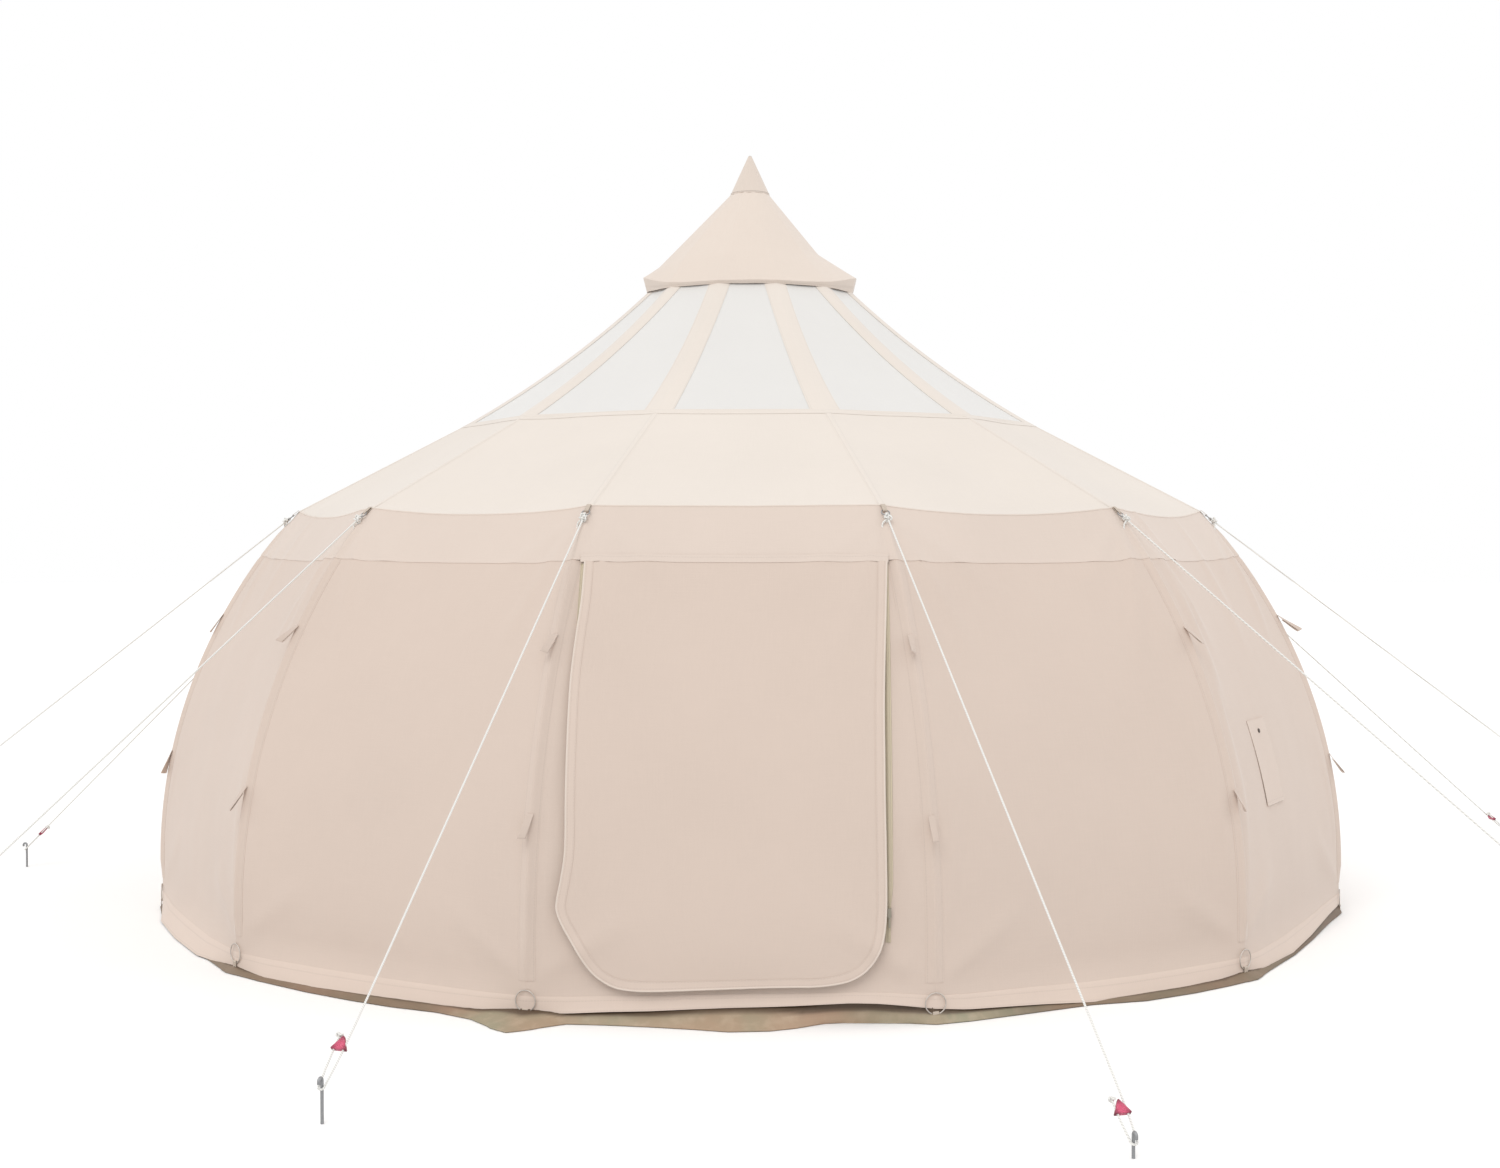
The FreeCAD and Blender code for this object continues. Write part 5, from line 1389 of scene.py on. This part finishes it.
FLAP_FOOT_LEFT, FLAP_FOOT_RIGHT, FLAP_FOOT_HALF = FLAP_LEFT[-1].y, FLAP_RIGHT[-1].y, FLAP_RIGHT[-1].x


def flap_edge(side, height):
    """Where the flap's left or right edge lies at a height."""
    line = FLAP_LEFT if side < 0 else FLAP_RIGHT
    for first, last in zip(line, line[1:]):
        if first.y >= height >= last.y:
            return first.x + (last.x - first.x) * (first.y - height) / max(1e-9, first.y - last.y)
    return line[0].x if height > line[0].y else line[-1].x


def flap_lift(x, height):
    """How far the flap hangs off the wall: more low down, and along its edges."""
    share = max(0.0, min(1.0, (height - FLAP_LOW) / (FLAP_TOP - FLAP_LOW)))
    free = smooth((1 - share) / 0.35)
    lift = FLAP_LIFT + 0.003 * free + 0.012 * smooth((0.34 - share) / 0.34)
    lift += 0.003 * free * smooth((x - 0.38) / 0.1)
    lift += 0.008 * smooth((-x - 0.42) / 0.07) * smooth((1 - share) / 0.08)
    lift += 0.003 * free * noise.noise(Vector((x * 3.4, height * 2.1, 7.0)))
    ridge = math.exp(-((x + 0.24 - 0.12 * share) / 0.06) ** 2)
    return lift + 0.003 * free * ridge * smooth((0.75 - share) / 0.4)


class BELLTENT_OT_door(bpy.types.Operator):
    """Hangs the door flap with its hem and piping, its header, the screen and both zip tapes"""
    bl_idname = "bell_tent.door"
    bl_label = "Door"

    def execute(self, context):
        finish = canvas("cotton_canvas_flap", colours().wall)
        # rows follow the outline's points round the foot, and are even above it
        straight = 0.42
        heights = sorted({round(point.y, 4) for point in FLAP_LEFT if point.y < straight})
        heights += steps((straight, FLAP_TOP - 0.0012), 0.03)

        def drop(x, height):
            """The foot's edge rises from left to right."""
            share = smooth((x + FLAP_FOOT_HALF) / (2 * FLAP_FOOT_HALF))
            return 0.0125 * share * max(0.0, 1 - (height - FLAP_FOOT_LEFT) / 0.05)

        def place(share, height):
            left, right = flap_edge(-1, height), flap_edge(1, max(height, FLAP_FOOT_RIGHT))
            x = left + (right - left) * share
            height += drop(x, height)
            return wall_point(0, x, height, flap_lift(x, height))
        flap = cloth("flap_cloth", steps((0, 0.03, 0.97, 1), 0.026), heights, place, CANVAS, finish)

        # the outline, down the left edge, round the bottom and up the right
        line = FLAP_LEFT + [Vector((x, FLAP_FOOT_LEFT + drop(x, FLAP_FOOT_LEFT)))
                            for x in steps((-0.22, 0.22), 0.03)]
        line += FLAP_RIGHT[::-1]
        outline = []
        for before, point, after in zip(line[:1] + line, line, line[1:] + line[-1:]):
            run = (after - before).normalized()
            outline.append((point.x, point.y, (-run.y, run.x)))

        def rim(entry, depth):
            x, height, (inward, upward) = entry
            x, height = x + inward * depth, height + upward * depth
            raised = 0.0012 if depth < 0.026 else 0.0004
            return wall_point(0, x, height, flap_lift(x, height) + raised)
        hem = cloth("flap_hem", outline, [0.028, 0.026, 0.018, 0.010, 0.003, 0.0], rim, 0.0011,
                    canvas("cotton_canvas_flap_hem", toned(colours().wall, 1.02), (0.003, 0.022)))
        pipe = tube("flap_piping", [rim(entry, 0.0) + Vector((0, 0.001, 0)) for entry in outline],
                    0.0032, canvas("cotton_canvas_piping", colours().cap), resolution=2)
        settle(flap, "door_flap", "canvas", "door_flap")
        settle(hem, "door_flap", "canvas")
        settle(pipe, "door_flap", "canvas")

        header_low, header_tall = 1.4424, 0.0256

        def header(x, share):
            return wall_point(0, x, header_low + header_tall * share, 0.0123 - 0.0022 * share)
        top = cloth("header_cloth", steps((-0.514, 0.514), 0.03), steps((0, 1), 0.2), header, 0.0014,
                    canvas("cotton_canvas_header", colours().band, (0.021,)))
        settle(top, "tent", "canvas", "door_header")

        net_half, net_low, net_round = 0.482, 0.170, 0.06

        def net(share, height):
            below = max(0.0, net_low + net_round - height)
            cut = net_round - math.sqrt(max(0.0, net_round ** 2 - below ** 2))
            return wall_point(0, share * (net_half - cut), height, -0.0040)
        rows = [0.1705, 0.174, 0.182, 0.194, 0.21] + steps((0.23, 1.437), 0.04)
        screen = cloth("screen_net", steps((-1, 1), 0.06), rows, net, 0.0010,
                       mesh_net(linear("#3A3B38")[:3]))
        settle(screen, "door_screen", "mesh", "door_screen")

        tape = ribbed("woven_zip_tape", linear("#CFC2A9")[:3], 0.0022, 0.0004, "Y", 0.7, "cloth")
        zips = []
        for side in (-1, 1):
            def track(height, aside, side=side):
                rise = 0.0012 if abs(aside) < 0.0035 else 0.0
                # the outer half of the tape narrows towards the foot
                narrow = smooth((0.43 - height) / 0.07) if aside * side > 0.0036 else 0.0
                x = side * ZIP_PLACE + aside * (1 - 0.6 * narrow)
                return wall_point(0, x, height, 0.0014 + rise)
            across = [ZIP_HALF, 0.0045, 0.0034, 0, -0.0034, -0.0045, -ZIP_HALF]
            zips.append(cloth("zip", steps((0.255, 1.442), 0.03), across, track, 0.0010, tape))
        track = joined("zip_tapes", zips)
        settle(track, "tent", "zip_tape", "door_zips")
        finish_node(metal("cast_zinc_slider", linear("#A9A396")[:3], 0.5, 60.0),
                    "zip_slider_left", "zip_slider_right")
        return {"FINISHED"}


class BELLTENT_OT_cord_port(bpy.types.Operator):
    """Covers the cord port with its small hemmed flap and press button"""
    bl_idname = "bell_tent.cord_port"
    bl_label = "Cord port"

    def execute(self, context):
        left, right, low, high = -0.27, -0.07, 0.55, 0.858
        middle, button_height = (left + right) / 2, 0.815
        finish = canvas("cotton_canvas_port_flap", toned(colours().wall, 1.03), (0.012,))

        def lift(x, height):
            free = smooth((high - height) / 0.3)
            return 0.0024 + 0.0012 * free + 0.0008 * free * smooth((abs(x - middle) - 0.06) / 0.04)

        def place(x, height, under=0.0):
            return wall_point(PORT_PANEL, x, height, lift(x, height) - under)
        flap = cloth("port_flap_cloth", steps((left, right), 0.012), steps((low, high), 0.014), place,
                     CANVAS - 0.0004, finish)
        rim = [(left, h) for h in steps((high, low), 0.02)]
        rim += [(x, low) for x in steps((left, right), 0.02)[1:]]
        rim += [(right, h) for h in steps((low, high), 0.02)[1:]]
        pipe = tube("port_flap_piping", [place(x, h, 0.0008) for x, h in rim], 0.0014,
                    canvas("cotton_canvas_piping", colours().cap), resolution=2)
        settle(flap, "cord_port_flap", "canvas", "cord_port_flap")
        settle(pipe, "cord_port_flap", "canvas")

        # a press button: a turned-over cap on a low collar
        seat, lean = place(middle, button_height), wall_lean(button_height)
        bpy.ops.object.select_all(action="DESELECT")
        bpy.ops.mesh.primitive_cylinder_add(vertices=32, radius=0.0080, depth=0.0034)
        button = context.object
        button.name = "port_press_button"
        edit(button, "FACE", lambda face: face.normal.z > 0.9)
        for inwards, upwards in ((0.0022, 0.0010), (0.0012, -0.0012), (0.0018, 0.0006)):
            bpy.ops.mesh.inset(thickness=inwards, depth=upwards)
        bpy.ops.object.mode_set(mode="OBJECT")
        modify(button, "BEVEL", width=0.0005, segments=2, limit_method="ANGLE",
               angle_limit=math.radians(30))
        face = out(PORT_PANEL * STEP) * math.cos(lean) + UP * math.sin(lean)
        turn = face.to_track_quat("Z", "Y").to_matrix().to_4x4()
        button.data.transform(Matrix.Translation(seat + face * 0.0016) @ turn)
        refinish(button, moulded("dark_moulded_plastic", linear("#4A3E36")[:3], 0.3), 40)
        settle(button, "cord_port_flap", "button", "cord_port_button")
        return {"FINISHED"}


# ------------------------------------------------------------------ tabs, loops and hard parts
TAB_HEIGHTS, TAB_LENGTH, TAB_HALF = (0.65, 1.21), 0.098, 0.012


class BELLTENT_OT_tie_tabs(bpy.types.Operator):
    """Sews two folded canvas tabs to each pole line"""
    bl_idname = "bell_tent.tie_tabs"
    bl_label = "Tie tabs"

    def execute(self, context):
        finish = canvas("cotton_canvas_tab", toned(colours().wall, 0.93))
        tabs = []
        for panel in range(PANELS):
            azimuth = panel * STEP + HALF
            for height in TAB_HEIGHTS:
                root = corner_point(panel, 0, height, 0.0010)
                down = (corner_point(panel, 0, height - 0.05, 0.0010) - root).normalized()
                side = along(azimuth)
                face = down.cross(side).normalized()
                tone = math.sin(5.1 * panel + 9 * height)

                # folded back on itself: down along the wall to the tip, and back under to the seam
                path = through(((0, 0), (0.030, 0.013), (0.068, 0.031), (0.094, 0.043), (0.098, 0.039),
                                (0.080, 0.029), (0.050, 0.016), (0.028, 0.006)), 3)
                # on the left the tabs lie flat against the wall
                stand = 0.25 if math.sin(azimuth) < -0.9 else 1.0

                def place(stop, aside):
                    fall, reach = path[stop]
                    share = fall / TAB_LENGTH
                    fall *= 0.9 + 0.1 * tone
                    reach = 0.0012 * stand + reach * stand * (1.0 + 0.25 * tone)
                    return (root + down * fall + face * (reach + 0.010 * tone * share * aside / TAB_HALF)
                            + side * (aside * (1 - 0.15 * share) + 0.012 * tone * share))
                across = [TAB_HALF, 0.0105, 0.004, -0.004, -0.0105, -TAB_HALF]
                tabs.append(cloth("tab", list(range(len(path)))[::-1], across, place, 0.0020, finish))
        tab = joined("tie_tabs", tabs)
        settle(tab, "tent", "canvas", "wall_tie_tabs")
        return {"FINISHED"}


RING_EYE = 0.0034


def strap_loop(name, begin, direction, face, length, half, eye, finish):
    """Webbing folded round a ring wire: two layers from the seam, round the wire, sewn together."""
    side = direction.cross(face).normalized()
    run = direction * (length - eye)
    shares = (0, 0.2, 0.4, 0.6, 0.8)

    def layer(share, sign):
        return begin + run * share + face * sign * (0.0012 + 0.0012 * math.sin(math.pi * share))

    path = [layer(share, 1) for share in shares]
    for i in range(9):
        angle = math.pi / 2 - math.pi * i / 8
        path.append(begin + run + direction * eye * math.cos(angle) * 0.98
                    + face * (eye * 0.9) * math.sin(angle))
    path += [layer(share, -1) for share in shares[::-1]]
    return cloth(name, path, [-half, -half * 0.9, 0, half * 0.9, half],
                 lambda point, aside: point + side * aside, 0.0016, finish)


class BELLTENT_OT_loops(bpy.types.Operator):
    """Folds the webbing loops that hold the rings at the eave and at the foot"""
    bl_idname = "bell_tent.loops"
    bl_label = "Webbing loops"

    def execute(self, context):
        finish = ribbed("woven_polyester_webbing", toned(colours().webbing), 0.0022, 0.0005, "Y", 0.7,
                        "cloth")
        loops = []
        for panel in range(PANELS):
            azimuth = panel * STEP + HALF
            away = out(azimuth)
            direction = away * math.cos(LOOP_SLOPE) - UP * math.sin(LOOP_SLOPE)
            face = away * math.sin(LOOP_SLOPE) + UP * math.cos(LOOP_SLOPE)
            begin = away * LOOP_RADIUS + UP * LOOP_HEIGHT
            loops.append(strap_loop("loop", begin, direction, face, 0.034, 0.008, RING_EYE, finish))
            low = away * (BASE_RADIUS + 0.0026) + UP * 0.004
            loops.append(strap_loop("loop", low, UP, away, 0.0335, 0.010, RING_EYE, finish))
        loop = joined("ring_loops", loops)
        settle(loop, "tent", "webbing", "webbing_loops")
        return {"FINISHED"}


class BELLTENT_OT_hardware(bpy.types.Operator):
    """Finishes the poles, rings, pegs and fittings that come from the frame"""
    bl_idname = "bell_tent.hardware"
    bl_label = "Poles, rings and pegs"

    def execute(self, context):
        zinc = metal("galvanised_steel", linear("#A3A4A6")[:3], 0.46, 90.0)
        finish_node(zinc, "guy_pegs", "eave_rings")
        finish_node(metal("bright_zinc_rings", linear("#CFC8C1")[:3], 0.42, 90.0), "base_rings")
        tube_steel = metal("galvanised_steel_tube", linear("#A5A7A8")[:3], 0.38, 25.0, 0.06)
        finish_node(tube_steel, "centre_pole_lower", "centre_pole_middle", "centre_pole_upper",
                    "centre_pole_spigots", "wall_poles_lower", "wall_poles_upper", "wall_pole_fittings")
        finish_node(moulded("moulded_rubber", linear("#2B2A28")[:3], 0.7, 1.52, 500.0),
                    "centre_pole_foot")
        finish_node(turned_beech(linear("#B98F62")[:3]), "centre_pole_head")
        return {"FINISHED"}


CLASSES = (
    TentShape, TentColours, BELLTENT_OT_camera, BELLTENT_OT_guy_ropes, BELLTENT_OT_walls,
    BELLTENT_OT_band, BELLTENT_OT_wall_tapes, BELLTENT_OT_groundsheet, BELLTENT_OT_roof,
    BELLTENT_OT_windows, BELLTENT_OT_cap, BELLTENT_OT_door, BELLTENT_OT_cord_port,
    BELLTENT_OT_tie_tabs, BELLTENT_OT_loops, BELLTENT_OT_runners, BELLTENT_OT_hardware,
    BELLTENT_OT_stage,
)


class BELLTENT_PT_panel(bpy.types.Panel):
    """The tent's pieces and settings"""
    bl_idname = "BELLTENT_PT_panel"
    bl_label = "Bell Tent"
    bl_space_type = "VIEW_3D"
    bl_region_type = "UI"
    bl_category = "Bell Tent"

    def draw(self, context):
        for group in (context.scene.bell_tent_shape, context.scene.bell_tent_colours):
            for name in group.__annotations__:
                self.layout.prop(group, name)
        for operator in CLASSES[2:]:
            self.layout.operator(operator.bl_idname)


def register():
    for item in (*CLASSES, BELLTENT_PT_panel):
        bpy.utils.register_class(item)
    bpy.types.Scene.bell_tent_shape = bpy.props.PointerProperty(type=TentShape)
    bpy.types.Scene.bell_tent_colours = bpy.props.PointerProperty(type=TentColours)


def unregister():
    del bpy.types.Scene.bell_tent_colours
    del bpy.types.Scene.bell_tent_shape
    for item in reversed((*CLASSES, BELLTENT_PT_panel)):
        bpy.utils.unregister_class(item)


def main():
    register()
    for operator in CLASSES[2:]:
        getattr(bpy.ops.bell_tent, operator.bl_idname.split(".")[1])()


if __name__ == "__main__":
    main()
